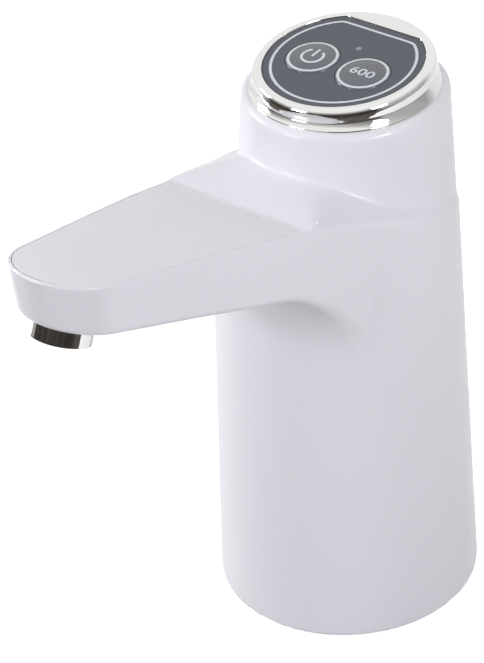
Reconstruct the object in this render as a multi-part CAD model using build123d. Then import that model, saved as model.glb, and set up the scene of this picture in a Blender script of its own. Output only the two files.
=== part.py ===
from build123d import *
import math
import os

# Electric water jug pump: a tapered column that sits on the neck of a water bottle, a spout
# arm that rises towards its tip, and a sloping control panel inside a plated ring.
# Millimetres, +Z up, spout towards -Y, origin at the centre of the column's base.

# Column
base_margin = 10.5
column_height = 160.0
column_top_radius = 28.9
column_lean = 9.4
wall = 2.3
shoulder_round = 2.0
ring_seat_radius = 26.8
top_plate = 3.0
base_gap = 0.6

# Wide lower body that carries the arm
skirt_drop = 10.0
skirt_top_radius = 33.9
skirt_lean = 2.6

# Spout arm, measured from the column's axis along its sloping top
arm_slope_deg = 14.6
rim_drop = 24.3
tip_reach = 106.3
tip_radius = 16.3
arm_taper_deg = 7.1
arm_blend_radius = 200.0
arm_draft_deg = 2.0
tip_depth = 14.8
underside_slope_deg = 18.3
underside_arc = 21.0
underside_round = 3.0
ledge_fillet = 7.0

# Arm cover
cover_start = 41.3
cover_thickness = 2.0
cover_rim = 1.1
cover_gap = 0.15
cover_shelf = 1.6
cover_rib_depth = 3.0
cover_rib_width = 1.4

# Sloping panel and plated ring
panel_slope = 0.0896
panel_rise = 7.3
panel_back = 9.1
panel_radius = 22.5
panel_flat = 18.65
panel_thickness = 1.2
panel_gap = 0.1
lip_rise = 0.45
lip_radius = 25.1
lip_depth = 3.3
lip_round = 0.9
ring_edge = 0.4
ring_ledge = 2.1
skirt_ring_radius = 24.4
skirt_ring_wall = 1.6
skirt_ring_depth = 6.0
seat_gap = 0.1

# Keys under the panel
key_spacing = 8.62
key_forward = 2.63
key_radius = 7.7
key_gap = 0.15
key_rise = 0.6
key_round = 0.45
key_flange = 0.7
key_flange_thickness = 0.8
key_stop_gap = 0.05
key_stem_radius = 2.4
key_stem = 0.9
carrier_thickness = 2.0
led_back = 7.12
lens_radius = 0.9
lens_gap = 0.08
lens_length = 4.6
led_radius = 1.4

# Control board
board_drop = 8.0
board_thickness = 1.6
board_radius = 19.4
switch_side = 6.0
switch_height = 2.1
plunger_radius = 1.7
plunger_bore_gap = 0.1
plunger_bore_depth = 1.7
plunger_inside = 0.8
post_radius = 1.8
post_place_radius = 16.6
post_angles_deg = (60.0, 120.0, 270.0)
board_flat = 16.2
board_screw_radius = 0.9
board_screw_head = 1.5
board_screw_head_height = 1.0
board_screw_length = 5.0
chip_size = 5.0
chip_height = 1.0
socket_length = 7.0
socket_width = 4.0
socket_height = 3.4

# Neck socket for the bottle
neck_bore_radius = 28.5
neck_step = 0.5
neck_depth = 34.0
neck_entry = 18.0
sleeve_wall = 1.7
sleeve_roof = 2.4
mouth_chamfer = 0.5
flange_gap = 0.3
flange_thickness = 5.0
groove_gap = 0.1
rim_ring_from_neck = 2.7
rim_ring_from_edge = 3.6
rim_ring_height = 2.0
gasket_thickness = 2.0
gasket_reach = 9.5
gasket_seat = 1.0
gasket_gap = 0.2
base_screw_count = 4
base_boss_radius = 3.2
base_boss_sink = 0.1
base_boss_height = 12.0
base_screw_radius = 1.4
base_screw_head = 2.3
base_screw_head_height = 1.4
base_screw_length = 10.0

# Water inlet through the socket's roof
inlet_flange_radius = 9.0
inlet_flange_thickness = 2.0
inlet_neck_radius = 6.0
inlet_tail_radius = 3.6
inlet_bore_radius = 2.4
inlet_tail_length = 15.0
inlet_barb_count = 4
inlet_barb_rise = 0.6
inlet_thread_length = 5.4
inlet_top_length = 5.2
inlet_nut_across = 16.0
inlet_nut_height = 2.6
thread_gap = 0.1

# Chassis
chassis_plate = 2.4
chassis_plate_radius = 31.0
chassis_plate_back = 1.5
chassis_hole_radius = 9.2
foot_height = 4.6
foot_radius = 3.2
foot_from_neck = 3.5
foot_angles_deg = (35.0, 145.0, 215.0, 325.0)
chassis_screw_radius = 1.2
chassis_screw_head = 2.2
chassis_screw_head_height = 1.3
spine_thickness = 2.0
spine_half_width = 20.0
spine_gap = 0.9
spine_drop = 12.0
spine_window = 12.0
spine_window_height = 14.0
window_shares = (0.28, 0.58)
shelf_thickness = 2.2
shelf_web = 2.0
shelf_web_place = 12.6
shelf_hole_gap = 0.5
cell_foot_radius = 4.0
cell_clip_bottoms = (56.0, 98.0)
motor_clip_bottom = 100.0
clip_height = 6.0
clip_wall = 1.8
clip_gap = 0.1
clip_opening = 9.0

# Motor and pump, both on one upright axis in front of the chassis spine
pump_front = 8.0
pump_radius = 14.0
head_bottom = 62.0
head_height = 8.0
valve_plate_height = 2.5
diaphragm_flange = 1.5
crank_height = 15.0
crank_wall = 1.8
crank_boss_radius = 1.8
crank_roof = 2.0
pump_barb_radius = 2.6
pump_barb_length = 7.4
pump_barb_place = 8.0
pump_port_radius = 1.5
pump_chamber_radius = 9.8
pump_chamber_depth = 5.0
port_hole_radius = 0.8
flap_radius = 1.7
flap_thickness = 0.5
flap_stem_radius = 0.5
pump_divider = 1.6
motor_radius = 12.1
motor_length = 29.0
motor_wall = 1.0
motor_boss_radius = 4.0
motor_boss_height = 1.4
end_cap_height = 2.6
end_boss_radius = 3.0
end_boss_height = 1.6
terminal_width = 2.4
terminal_thickness = 0.6
terminal_height = 5.0
terminal_place = 7.0
shaft_radius = 1.0
shaft_gap = 0.04
rotor_radius = 7.6
rotor_length = 18.0
rotor_slots = 3
rotor_slot_width = 2.2
commutator_radius = 3.0
commutator_length = 4.0
magnet_inner = 8.6
magnet_opening = 5.0
cup_count = 3
cup_place_radius = 6.4
cup_radius = 3.4
cup_wall = 0.8
cup_clearance = 0.35
pump_screw_count = 4
screw_place_radius = 12.0
pump_screw_radius = 0.8
pump_screw_head = 1.5
pump_screw_head_height = 1.1
pump_screw_length = 17.0

# Wobble drive
pin_tilt_deg = 9.0
pin_radius = 1.0
pin_gap = 0.04
pivot_above_flange = 1.2
wobble_radius = 8.8
wobble_thickness = 1.8
wobble_lift = 3.2
wobble_hub_radius = 2.6
wobble_hub_height = 1.2
hub_radius = 5.6
hub_height = 4.6
hub_gap = 0.8
hub_web = 0.3

# Battery cell
cell_radius = 9.05
cell_length = 65.0
cell_sink = 0.5
cell_bottom = 49.0
cell_cap_radius = 3.0
cell_cap_height = 1.0
wrap_thickness = 0.25
wrap_fold = 1.5
tab_width = 6.0
tab_thickness = 0.3
tab_length = 11.0

# Charging board at the back
charge_board_gap = 0.3
charge_board_thickness = 1.2
charge_board_width = 16.0
charge_board_drop = 36.0
charge_board_height = 24.0
charge_port_drop = 23.0
usb_width = 8.9
usb_height = 3.2
usb_wall = 0.35
usb_setback = 0.5
usb_opening_gap = 0.3
usb_tongue = 0.7
tongue_width_share = 0.7
tongue_length_share = 0.75
charge_arm_thickness = 3.0
charge_arm_width = 2.4

# Hoses
hose_radius = 3.6
hose_bore = 2.65
hose_front = 26.2
hose_low = 49.4
hose_u_radius = 4.9
hose_end_gap = 0.6
hose_bend_radius = 14.0
hose_depth_in_arm = 7.4
clip_ring_wire = 0.7
clip_ring_width = 3.0

# Nozzle at the tip
nozzle_radius = 7.6
nozzle_drop = 20.0
nozzle_wall = 1.0
nozzle_gap = 0.1
nozzle_flange = 1.6
nozzle_flange_drop = 11.8
nozzle_flange_thickness = 1.3
nozzle_round = 0.6
insert_height = 4.0
insert_setback = 1.2
insert_hole = 0.8
insert_ring_radius = 3.6
insert_ring_count = 8
elbow_radius = 4.6
elbow_top_drop = 4.2
elbow_barb_length = 9.5
elbow_bore = 1.6
elbow_hose_stop = 4.8

# Wires
wire_radius = 0.6
wire_bend = 3.0
wire_pair = 1.6

# Shared
overrun = 40.0
nib = 0.4

base_radius = neck_bore_radius + base_margin
skirt_height = column_height - skirt_drop
rim_height = column_height - rim_drop
panel_height = column_height + panel_rise
neck_upper_radius = neck_bore_radius - neck_step
rim_ring_inner = neck_bore_radius + rim_ring_from_neck
rim_ring_outer = base_radius - rim_ring_from_edge
gasket_inner = neck_bore_radius - gasket_reach
base_screw_place = base_radius - wall - base_boss_radius + base_boss_sink
foot_place_radius = neck_bore_radius - foot_from_neck
spine_place = pump_radius - pump_front + spine_gap
spine_top = column_height - spine_drop
cell_clip_outer = cell_radius + wrap_thickness + clip_gap + clip_wall
cell_back = spine_place + spine_thickness + cell_clip_outer - cell_sink
charge_board_back = cell_back + cell_clip_outer + charge_board_gap
charge_board_bottom = column_height - charge_board_drop
charge_port_height = column_height - charge_port_drop
rim_share = rim_height / skirt_height
rim_radius = base_radius + (skirt_top_radius - base_radius) * rim_share
rim_back_shift = skirt_lean * rim_share
slope = math.tan(math.radians(arm_slope_deg))
arm_plane = Plane(origin=(0, 0, rim_height), x_dir=(0, -1, slope), z_dir=(0, slope, 1))
panel_plane = Plane(origin=(0, panel_back, panel_height), x_dir=(1, 0, 0), z_dir=(0, -panel_slope, 1))

valve_level = head_bottom + head_height
diaphragm_level = valve_level + valve_plate_height
crank_level = diaphragm_level + diaphragm_flange
motor_level = crank_level + crank_height
key_flange_low = -panel_thickness - carrier_thickness - key_stop_gap - key_flange_thickness
key_stem_low = key_flange_low - key_stem
plunger_low = -board_drop + switch_height - plunger_inside
socket_roof_low = neck_depth + gasket_thickness
socket_roof_top = socket_roof_low + sleeve_roof
inlet_flange_low = socket_roof_low - inlet_flange_thickness
inlet_thread_top = socket_roof_low + inlet_thread_length
chassis_level = socket_roof_top + foot_height


def arm_point(along, across, up):
    """World point from a place along, across and square to the arm's top."""
    return arm_plane.from_local_coords(Vector(along, across, up))


def panel_point(x, y, up):
    """World point from a place on the sloping panel."""
    return panel_plane.from_local_coords(Vector(x, y, up))


def tube(outer, inner, height):
    """Upright tube with its foot at the origin."""
    return upright(outer, height) - upright(inner, height)


def upright(radius, height):
    """Upright cylinder with its foot at the origin."""
    return Cylinder(radius, height, align=(Align.CENTER, Align.CENTER, Align.MIN))


def block(width, depth, height):
    """Box centred on the origin, standing on it."""
    return Box(width, depth, height, align=(Align.CENTER, Align.CENTER, Align.MIN))


def cone_between(radius_a, centre_a, z_a, radius_b, centre_b, z_b):
    """Leaning cone between two level circles, their centres moved along Y."""
    low = Plane.XY.offset(z_a) * Pos(0, centre_a) * Circle(radius_a)
    high = Plane.XY.offset(z_b) * Pos(0, centre_b) * Circle(radius_b)
    return loft([low.face(), high.face()], ruled=True)


def arm_outline(inset):
    """Plan of the arm and its root in the sloping plane, drawn in by an inset."""
    lean = math.radians(arm_taper_deg)
    tip = tip_radius - inset
    rim = rim_radius - inset
    blend = arm_blend_radius + inset
    side = tip + tip_reach * math.sin(lean)
    normal = Vector(math.sin(lean), math.cos(lean))
    along = Vector(math.cos(lean), -math.sin(lean))
    rise = side + blend + rim_back_shift * normal.X
    run = math.sqrt((rim + blend) ** 2 - rise ** 2)
    rim_centre = Vector(-rim_back_shift, 0)
    blend_centre = rim_centre + normal * rise + along * run
    on_rim = rim_centre + (blend_centre - rim_centre) * (rim / (rim + blend))
    on_side = blend_centre - normal * blend
    on_tip = Vector(tip_reach, 0) + normal * tip
    middle = (on_rim - blend_centre) + (on_side - blend_centre)
    on_blend = blend_centre + middle.normalized() * blend

    def mirrored(point):
        return (point.X, -point.Y)

    def plain(point):
        return (point.X, point.Y)

    edges = [
        Line(mirrored(on_rim), plain(on_rim)),
        ThreePointArc(plain(on_rim), plain(on_blend), plain(on_side)),
        Line(plain(on_side), plain(on_tip)),
        ThreePointArc(plain(on_tip), (tip_reach + tip, 0), mirrored(on_tip)),
        Line(mirrored(on_tip), mirrored(on_side)),
        ThreePointArc(mirrored(on_side), mirrored(on_blend), mirrored(on_rim)),
    ]
    return make_face(Wire(edges))


def yz_face(edges):
    """Face in the YZ plane from edges drawn with the distance to the front first, height second."""
    return Plane(origin=(0, 0, 0), x_dir=(0, -1, 0), z_dir=(-1, 0, 0)) * make_face(Wire(edges))


def underside_corner():
    """Where the arm's underside line would meet the front of the lower body."""
    under = math.radians(underside_slope_deg)
    tip_under = arm_point(tip_reach, 0, -tip_depth)
    reach = rim_radius - rim_back_shift
    height = tip_under.Z - (-tip_under.Y - reach) * math.tan(under)
    return reach, height


def arm_profile(inset):
    """Everything above the arm's straight underside, raised by an inset."""
    under = math.radians(underside_slope_deg)
    reach, height = underside_corner()
    lift = inset / math.cos(under)
    far = tip_reach + 2 * tip_radius
    start = height - reach * math.tan(under) + lift
    finish = start + far * math.tan(under)
    top = finish + overrun
    points = [(0, start), (far, finish), (far, top), (0, top)]
    edges = [Line(points[i], points[(i + 1) % len(points)]) for i in range(len(points))]
    return extrude(yz_face(edges), amount=base_radius, both=True)


def root_flare(inset):
    """Concave sweep around the front of the lower body, under the arm's root."""
    under = math.radians(underside_slope_deg)
    reach, height = underside_corner()
    turn = math.pi / 2 - under
    tangent = underside_arc * math.tan(turn / 2)
    centre = (reach + underside_arc, height - tangent)
    radius = underside_arc + inset
    start = (centre[0] - radius, centre[1])
    finish = (centre[0] - radius * math.sin(under), centre[1] + radius * math.cos(under))
    half = math.pi - turn / 2
    middle = (centre[0] + radius * math.cos(half), centre[1] + radius * math.sin(half))
    axis_at = -rim_back_shift
    top = finish[1] + wall
    edges = [
        Line((axis_at, start[1]), start),
        ThreePointArc(start, middle, finish),
        Line(finish, (finish[0], top)),
        Line((finish[0], top), (axis_at, top)),
        Line((axis_at, top), (axis_at, start[1])),
    ]
    axis = Axis((0, rim_back_shift, 0), (0, 0, 1))
    return revolve(yz_face(edges), axis)


def below_arm_plane(drop):
    """Everything below the arm's sloping top, less a drop square to it."""
    size = 4 * (tip_reach + base_radius)
    slab = Box(size, size, size, align=(Align.CENTER, Align.CENTER, Align.MAX))
    return arm_plane * Pos(0, 0, -drop) * slab


def arm_solid(inset, drop):
    """The arm, drawn in on its sides and underside by an inset and on top by a drop."""
    prism = extrude(arm_outline(inset), amount=-rim_height / 2, taper=arm_draft_deg)
    prism = (arm_plane * prism) & below_arm_plane(drop)
    radius = underside_round - inset
    beam = prism & arm_profile(inset)
    root = prism & root_flare(inset)
    if radius > nib:
        beam = fillet(under_edges(beam), radius=radius)
    return beam + root


def column_solid(inset):
    """The leaning column without the arm."""
    return cone_between(base_radius - inset, 0, 0, column_top_radius - inset, column_lean, column_height)


def skirt_solid(inset, drop):
    """The wide lower body without the arm, cut by the sloping plane."""
    body = cone_between(base_radius - inset, 0, 0, skirt_top_radius - inset, skirt_lean, skirt_height)
    return body & below_arm_plane(drop)


def arm_local(edge, share=0.5):
    """Place of an edge's point in the arm's own directions."""
    return arm_plane.to_local_coords(edge @ share)


def under_edges(beam):
    """Edges around the arm's underside, without the one inside the column."""
    under = math.radians(underside_slope_deg)
    down = Vector(0, -math.sin(under), -math.cos(under))
    low = [f for f in beam.faces() if f.normal_at().get_angle(down) < arm_draft_deg]
    return [e for e in low[0].edges() if arm_local(e).X > tip_radius]


def ledge_collar():
    """Concave sweep from the sloping ledge up into the column."""
    column_slope = (base_radius - column_top_radius) / column_height
    centre = column_lean * rim_share
    height = rim_height - slope * centre
    radius = base_radius - column_slope * height
    tilt = math.atan(slope) + math.atan(column_lean / column_height)
    half = math.radians(45)
    start = (radius + ledge_fillet, 0)
    finish = (radius, ledge_fillet)
    pull = ledge_fillet * (1 - math.cos(half))
    middle = (radius + pull, pull)
    edges = [
        Line((0, -wall), (start[0], -wall)),
        Line((start[0], -wall), start),
        ThreePointArc(start, middle, finish),
        Line(finish, (0, ledge_fillet)),
        Line((0, ledge_fillet), (0, -wall)),
    ]
    ring = revolve(Plane.XZ * make_face(Wire(edges)), Axis.Z)
    ring = scale(ring, by=(1 / math.cos(tilt), 1, 1))
    ring = arm_plane * Pos(-centre / math.cos(math.radians(arm_slope_deg)), 0, 0) * ring
    room = cone_between(base_radius, 0, 0, skirt_top_radius, skirt_lean, skirt_height)
    room += arm_plane * extrude(arm_outline(0), amount=ledge_fillet, both=True)
    return ring & room


def outer_body():
    """Outside form of the moulded body, its edges rounded."""
    column = column_solid(0)
    column = fillet(column.faces().sort_by(Axis.Z)[-1].edges(), radius=shoulder_round)
    return skirt_solid(0, 0) + arm_solid(0, 0) + ledge_collar() + column


def screw_angles(count):
    """Evenly spaced angles, turned so that none lies on the arm's plane."""
    return [360 / count * (i + 1 / 2) for i in range(count)]


def make_main_body():
    """Moulded body: column, lower body and arm in one hollow shell, open below and over the arm."""
    inner = column_solid(wall) & block(4 * base_radius, 4 * base_radius, column_height - top_plate)
    inner += skirt_solid(wall, wall)
    inner += arm_solid(wall, wall)
    body = outer_body() - inner
    mouth = extrude(arm_outline(cover_rim), amount=-cover_thickness)
    past_start = Pos(cover_start, 0, 0) * Box(
        2 * tip_reach, 4 * base_radius, 2 * overrun, align=(Align.MIN, Align.CENTER, Align.CENTER))
    body -= arm_plane * (mouth & past_start)
    shelf_opening = extrude(arm_outline(cover_rim + cover_shelf), amount=-3 * cover_thickness)
    past_shelf = Pos(cover_shelf, 0, 0) * past_start
    body -= arm_plane * (shelf_opening & past_shelf)
    body -= Pos(0, column_lean, column_height - 2 * top_plate) * upright(
        skirt_ring_radius + seat_gap, 4 * top_plate)
    body -= block(4 * base_radius, 4 * base_radius, base_gap)
    for angle in screw_angles(base_screw_count):
        boss = tube(base_boss_radius, base_screw_radius, base_boss_height)
        body += Rot(0, 0, angle) * Pos(base_screw_place, 0, base_gap + flange_thickness) * boss
    slot = SlotOverall(usb_width + 2 * usb_opening_gap, usb_height + 2 * usb_opening_gap)
    usb = extrude(slot, amount=overrun)
    body -= Pos(0, charge_board_back + overrun, charge_port_height) * Rot(90, 0, 0) * usb
    body -= arm_plane * Pos(tip_reach, 0, -nozzle_drop) * upright(
        nozzle_radius + nozzle_gap, nozzle_drop - hose_depth_in_arm)
    return body


def make_arm_cover():
    """Top plate of the arm, flush with its rim, with a stiffening rib ring beneath."""
    past = Pos(cover_start + cover_gap, 0, 0) * Box(
        2 * tip_reach, 4 * base_radius, 2 * overrun, align=(Align.MIN, Align.CENTER, Align.CENTER))
    plate = extrude(arm_outline(cover_rim + cover_gap), amount=-cover_thickness) & past
    inset = cover_rim + cover_shelf + 2 * cover_gap
    depth = -cover_thickness - cover_rib_depth
    rib = extrude(arm_outline(inset), amount=depth)
    rib -= extrude(arm_outline(inset + cover_rib_width), amount=2 * depth)
    rib &= Pos(cover_shelf + cover_gap, 0, 0) * past
    rib &= Pos(0, 0, -cover_thickness) * Box(
        4 * tip_reach, 4 * base_radius, overrun, align=(Align.CENTER, Align.CENTER, Align.MAX))
    return arm_plane * (plate + rib)


def flat_disc(radius, flat, low, high):
    """Disc with one flat side at the back, between two levels square to the panel."""
    disc = Pos(0, 0, low) * upright(radius, high - low)
    cut = Pos(0, flat, low) * Box(
        2 * radius, 2 * radius, high - low, align=(Align.CENTER, Align.MIN, Align.MIN))
    return disc - cut


def key_places():
    """Centres of the two keys on the panel: power first, then amount."""
    return [(-key_spacing, -key_forward), (key_spacing, -key_forward)]


def make_chrome_ring():
    """Plated ring: level seat on the column, sloping lip around the panel."""
    seat = Plane.XY.offset(column_height + ring_edge) * Pos(0, column_lean) * Circle(ring_seat_radius)
    neck = panel_plane * Pos(0, 0, -lip_depth) * Circle(lip_radius)
    ring = loft([seat.face(), neck.face()], ruled=True)
    ring += Pos(0, column_lean, column_height) * upright(ring_seat_radius, ring_edge)
    lip = Pos(0, 0, -lip_depth) * upright(lip_radius, lip_depth + lip_rise)
    lip = fillet(lip.faces().sort_by(Axis.Z)[-1].edges(), radius=lip_round)
    ring += panel_plane * lip
    ring += Pos(0, column_lean, column_height - skirt_ring_depth) * upright(
        skirt_ring_radius, skirt_ring_depth + ring_edge)
    depth = panel_thickness + carrier_thickness
    ring -= panel_plane * flat_disc(panel_radius + panel_gap, panel_flat + panel_gap, -depth, overrun)
    ring -= panel_plane * flat_disc(
        panel_radius - ring_ledge, panel_flat - ring_ledge, -depth - overrun, overrun)
    hollow = Pos(0, column_lean, column_height - 2 * skirt_ring_depth) * upright(
        skirt_ring_radius - skirt_ring_wall, 2 * skirt_ring_depth)
    return ring - hollow


def make_control_panel():
    """Dark overlay with one flat side and holes for the keys and the lens."""
    plate = flat_disc(panel_radius, panel_flat, -panel_thickness, 0)
    for x, y in key_places():
        plate -= Pos(x, y, -overrun) * upright(key_radius + key_gap, 2 * overrun)
    plate -= Pos(0, led_back, -overrun) * upright(lens_radius + lens_gap, 2 * overrun)
    return panel_plane * plate


def make_panel_carrier():
    """Plate under the overlay, with the posts that hold the control board."""
    top = -panel_thickness
    low = top - carrier_thickness
    plate = flat_disc(panel_radius, panel_flat, low, top)
    for x, y in key_places():
        plate -= Pos(x, y, -overrun) * upright(key_radius + key_gap, 2 * overrun)
    plate -= Pos(0, led_back, -overrun) * upright(lens_radius + lens_gap, 2 * overrun)
    for angle in post_angles_deg:
        post = tube(post_radius, board_screw_radius, board_drop + low)
        plate += Rot(0, 0, angle) * Pos(post_place_radius, 0, -board_drop) * post
    return panel_plane * plate


def make_key(index):
    """Domed key with its retaining flange and the stem that meets the switch."""
    cap = Pos(0, 0, key_flange_low) * upright(key_radius, key_rise - key_flange_low)
    cap = fillet(cap.faces().sort_by(Axis.Z)[-1].edges(), radius=key_round)
    cap += Pos(0, 0, key_flange_low) * upright(key_radius + key_flange, key_flange_thickness)
    cap += Pos(0, 0, key_stem_low) * upright(key_stem_radius, key_stem)
    x, y = key_places()[index]
    return panel_plane * Pos(x, y, 0) * cap


def make_plunger(index):
    """Plunger of one key's switch."""
    x, y = key_places()[index]
    return panel_plane * Pos(x, y, plunger_low) * upright(plunger_radius, key_stem_low - plunger_low)


def make_key_switches():
    """Two square switches on the control board, each with the bore for its plunger."""
    switches = []
    for x, y in key_places():
        body = block(switch_side, switch_side, switch_height)
        body -= Pos(0, 0, switch_height - plunger_bore_depth) * upright(
            plunger_radius + plunger_bore_gap, overrun)
        switches.append(panel_plane * Pos(x, y, -board_drop) * body)
    return Compound(switches)


def make_control_board():
    """Round circuit board with a flat side and screw holes."""
    board = flat_disc(board_radius, board_flat, -board_drop - board_thickness, -board_drop)
    for angle in post_angles_deg:
        board -= Rot(0, 0, angle) * Pos(post_place_radius, 0, -overrun) * upright(
            board_screw_radius + thread_gap, 2 * overrun)
    return panel_plane * board


def screw(radius, head, head_height, length):
    """Pan-head screw, head below the origin and thread above it."""
    return Pos(0, 0, -head_height) * upright(head, head_height) + upright(radius, length)


def make_board_screws():
    """Screws that hold the control board to the carrier's posts."""
    one = screw(
        board_screw_radius - thread_gap / 2, board_screw_head, board_screw_head_height, board_screw_length)
    low = -board_drop - board_thickness
    return Compound([
        panel_plane * Rot(0, 0, angle) * Pos(post_place_radius, 0, low) * one for angle in post_angles_deg])


def make_status_led():
    """Light on the board, under the lens."""
    foot = block(2 * led_radius, 2 * led_radius, led_radius / 2)
    dome = upright(led_radius, led_radius) + Pos(0, 0, led_radius) * (
        Sphere(led_radius) & block(4 * led_radius, 4 * led_radius, 2 * led_radius))
    return panel_plane * Pos(0, led_back, -board_drop) * (foot + dome)


def make_status_lens():
    """Clear rod that carries the light to the panel's face."""
    return panel_plane * Pos(0, led_back, -lens_length) * upright(lens_radius, lens_length)


def board_socket_places():
    """Wire sockets under the control board: pump in front, cell behind."""
    return [(0, -board_radius / 2 - socket_width / 2), (0, led_back + socket_width / 2)]


def make_board_parts():
    """Controller chip and wire sockets under the control board."""
    low = -board_drop - board_thickness
    pieces = [Pos(0, 0, low - chip_height) * block(chip_size, chip_size, chip_height)]
    for x, y in board_socket_places():
        pieces.append(Pos(x, y, low - socket_height) * block(socket_length, socket_width, socket_height))
    return Compound([panel_plane * piece for piece in pieces])


def make_neck_sleeve():
    """Insert that drops over the bottle's neck, its roof carrying the chassis feet."""
    outer = neck_bore_radius + sleeve_wall
    sleeve = Pos(0, 0, base_gap) * upright(outer, socket_roof_top - base_gap)
    flange_radius = base_radius - wall - flange_gap
    sleeve += Pos(0, 0, base_gap) * upright(flange_radius - base_gap / 2, flange_thickness)
    sleeve -= upright(neck_bore_radius, neck_entry)
    sleeve -= upright(neck_upper_radius, neck_depth)
    sleeve -= Pos(0, 0, neck_depth) * upright(neck_bore_radius + gasket_seat, gasket_thickness)
    sleeve -= Pos(0, 0, base_gap) * Cone(
        neck_bore_radius + mouth_chamfer, neck_bore_radius, mouth_chamfer,
        align=(Align.CENTER, Align.CENTER, Align.MIN))
    sleeve -= upright(inlet_neck_radius + thread_gap, overrun + neck_depth)
    sleeve -= tube(rim_ring_outer + groove_gap, rim_ring_inner - groove_gap, rim_ring_height)
    for angle in foot_angles_deg:
        foot = tube(foot_radius, chassis_screw_radius, foot_height)
        sleeve += Rot(0, 0, angle) * Pos(foot_place_radius, 0, socket_roof_top) * foot
    for angle in screw_angles(base_screw_count):
        hole = upright(base_screw_head + thread_gap, rim_ring_height + base_screw_head_height)
        hole += upright(base_screw_radius + thread_gap, overrun)
        sleeve -= Rot(0, 0, angle) * Pos(base_screw_place, 0, 0) * hole
    return sleeve


def make_base_rim():
    """Soft ring that the pump stands on, in the sleeve's groove."""
    return tube(rim_ring_outer, rim_ring_inner, rim_ring_height)


def make_neck_gasket():
    """Soft ring that the lip of the bottle meets."""
    return Pos(0, 0, neck_depth) * tube(
        neck_bore_radius + gasket_seat - gasket_gap, gasket_inner, gasket_thickness)


def make_base_screws():
    """Screws that hold the sleeve in the body."""
    one = screw(base_screw_radius - thread_gap / 2, base_screw_head, base_screw_head_height, base_screw_length)
    level = rim_ring_height + base_screw_head_height
    return Compound([
        Rot(0, 0, angle) * Pos(base_screw_place, 0, level) * one for angle in screw_angles(base_screw_count)])


def make_inlet_barb():
    """Fitting through the socket's roof: barbed tail below for the suction hose, short tail above."""
    fitting = Pos(0, 0, inlet_flange_low) * upright(inlet_flange_radius, inlet_flange_thickness)
    fitting += Pos(0, 0, socket_roof_low) * upright(inlet_neck_radius, inlet_thread_length)
    fitting += Pos(0, 0, inlet_thread_top) * upright(pump_barb_radius, inlet_top_length)
    fitting += Pos(0, 0, inlet_flange_low - inlet_tail_length) * upright(inlet_tail_radius, inlet_tail_length)
    step = inlet_tail_length / (inlet_barb_count + 1)
    for i in range(inlet_barb_count):
        barb = Cone(inlet_tail_radius, inlet_tail_radius + inlet_barb_rise, step / 2,
                    align=(Align.CENTER, Align.CENTER, Align.MIN))
        fitting += Pos(0, 0, inlet_flange_low - inlet_tail_length + i * step) * barb
    bore = upright(inlet_bore_radius, overrun + inlet_tail_length)
    fitting -= Pos(0, 0, inlet_flange_low - overrun) * bore
    fitting -= Pos(0, 0, inlet_flange_low) * upright(pump_port_radius, overrun)
    return fitting


def make_inlet_nut():
    """Nut that clamps the inlet to the socket's roof."""
    nut = extrude(RegularPolygon(inlet_nut_across / 2, 6, major_radius=False), amount=inlet_nut_height)
    nut -= upright(inlet_neck_radius + thread_gap / 2, inlet_nut_height)
    return Pos(0, 0, socket_roof_top) * nut


def c_clip(inner, height, opening_angle):
    """Ring clip with its mouth turned to an angle about Z."""
    ring = tube(inner + clip_wall, inner, height)
    mouth = Box(2 * inner + 2 * clip_wall, clip_opening, height, align=(Align.MIN, Align.CENTER, Align.MIN))
    return ring - Rot(0, 0, opening_angle) * mouth


def make_chassis():
    """Frame inside the column: foot plate, spine, pump shelf, cell cradle and board arms."""
    low = chassis_level
    top = low + chassis_plate
    plate = Pos(0, chassis_plate_back, low) * upright(chassis_plate_radius, chassis_plate)
    plate -= Pos(0, 0, low) * upright(chassis_hole_radius, chassis_plate)
    for angle in foot_angles_deg:
        plate -= Rot(0, 0, angle) * Pos(foot_place_radius, 0, low) * upright(
            chassis_screw_radius + thread_gap, chassis_plate)
    spine = Pos(0, spine_place + spine_thickness / 2, top) * block(
        2 * spine_half_width, spine_thickness, spine_top - top)
    windows = [top + (spine_top - top) * share for share in window_shares]
    for level in windows:
        for side in (-1, 1):
            spine -= Pos(side * spine_half_width / 2, spine_place, level) * block(
                spine_window, 4 * spine_thickness, spine_window_height)
    shelf_low = head_bottom - shelf_thickness
    shelf = Pos(0, -pump_front, shelf_low) * upright(pump_radius, shelf_thickness)
    shelf += Pos(0, 0, shelf_low) * Box(
        2 * shelf_web_place, spine_place + nib, shelf_thickness, align=(Align.CENTER, Align.MIN, Align.MIN))
    for side in (-1, 1):
        shelf += Pos(side * (shelf_web_place - shelf_web / 2), 0, top) * Box(
            shelf_web, 2 * (spine_place + nib), shelf_low - top, align=(Align.CENTER, Align.CENTER, Align.MIN))
    for place in (0, -2 * pump_barb_place):
        shelf -= Pos(0, place, shelf_low) * upright(hose_radius + shelf_hole_gap, shelf_thickness)
    frame = plate + spine + shelf
    motor_inner = motor_radius + clip_gap
    bridge = Pos(0, spine_place + nib, 0) * Box(
        motor_radius, spine_place, clip_height, align=(Align.CENTER, Align.MAX, Align.MIN))
    bridge -= Pos(0, -pump_front, 0) * upright(motor_inner, clip_height)
    motor_clip = Pos(0, -pump_front, 0) * c_clip(motor_inner, clip_height, -90) + bridge
    frame += Pos(0, 0, motor_clip_bottom) * motor_clip
    cell_inner = cell_radius + wrap_thickness + clip_gap
    for level in cell_clip_bottoms:
        frame += Pos(0, cell_back, level) * c_clip(cell_inner, clip_height, 90)
    foot_top = cell_bottom - tab_thickness
    frame += Pos(0, cell_back, top) * upright(cell_foot_radius, foot_top - top)
    back = spine_place + spine_thickness
    for side in (-1, 1):
        for level in charge_arm_levels():
            arm = Box(charge_arm_width, charge_board_back - back + nib, charge_arm_thickness,
                      align=(Align.CENTER, Align.MAX, Align.CENTER))
            frame += Pos(side * charge_screw_place(), charge_board_back, level) * arm
    return frame


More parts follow.
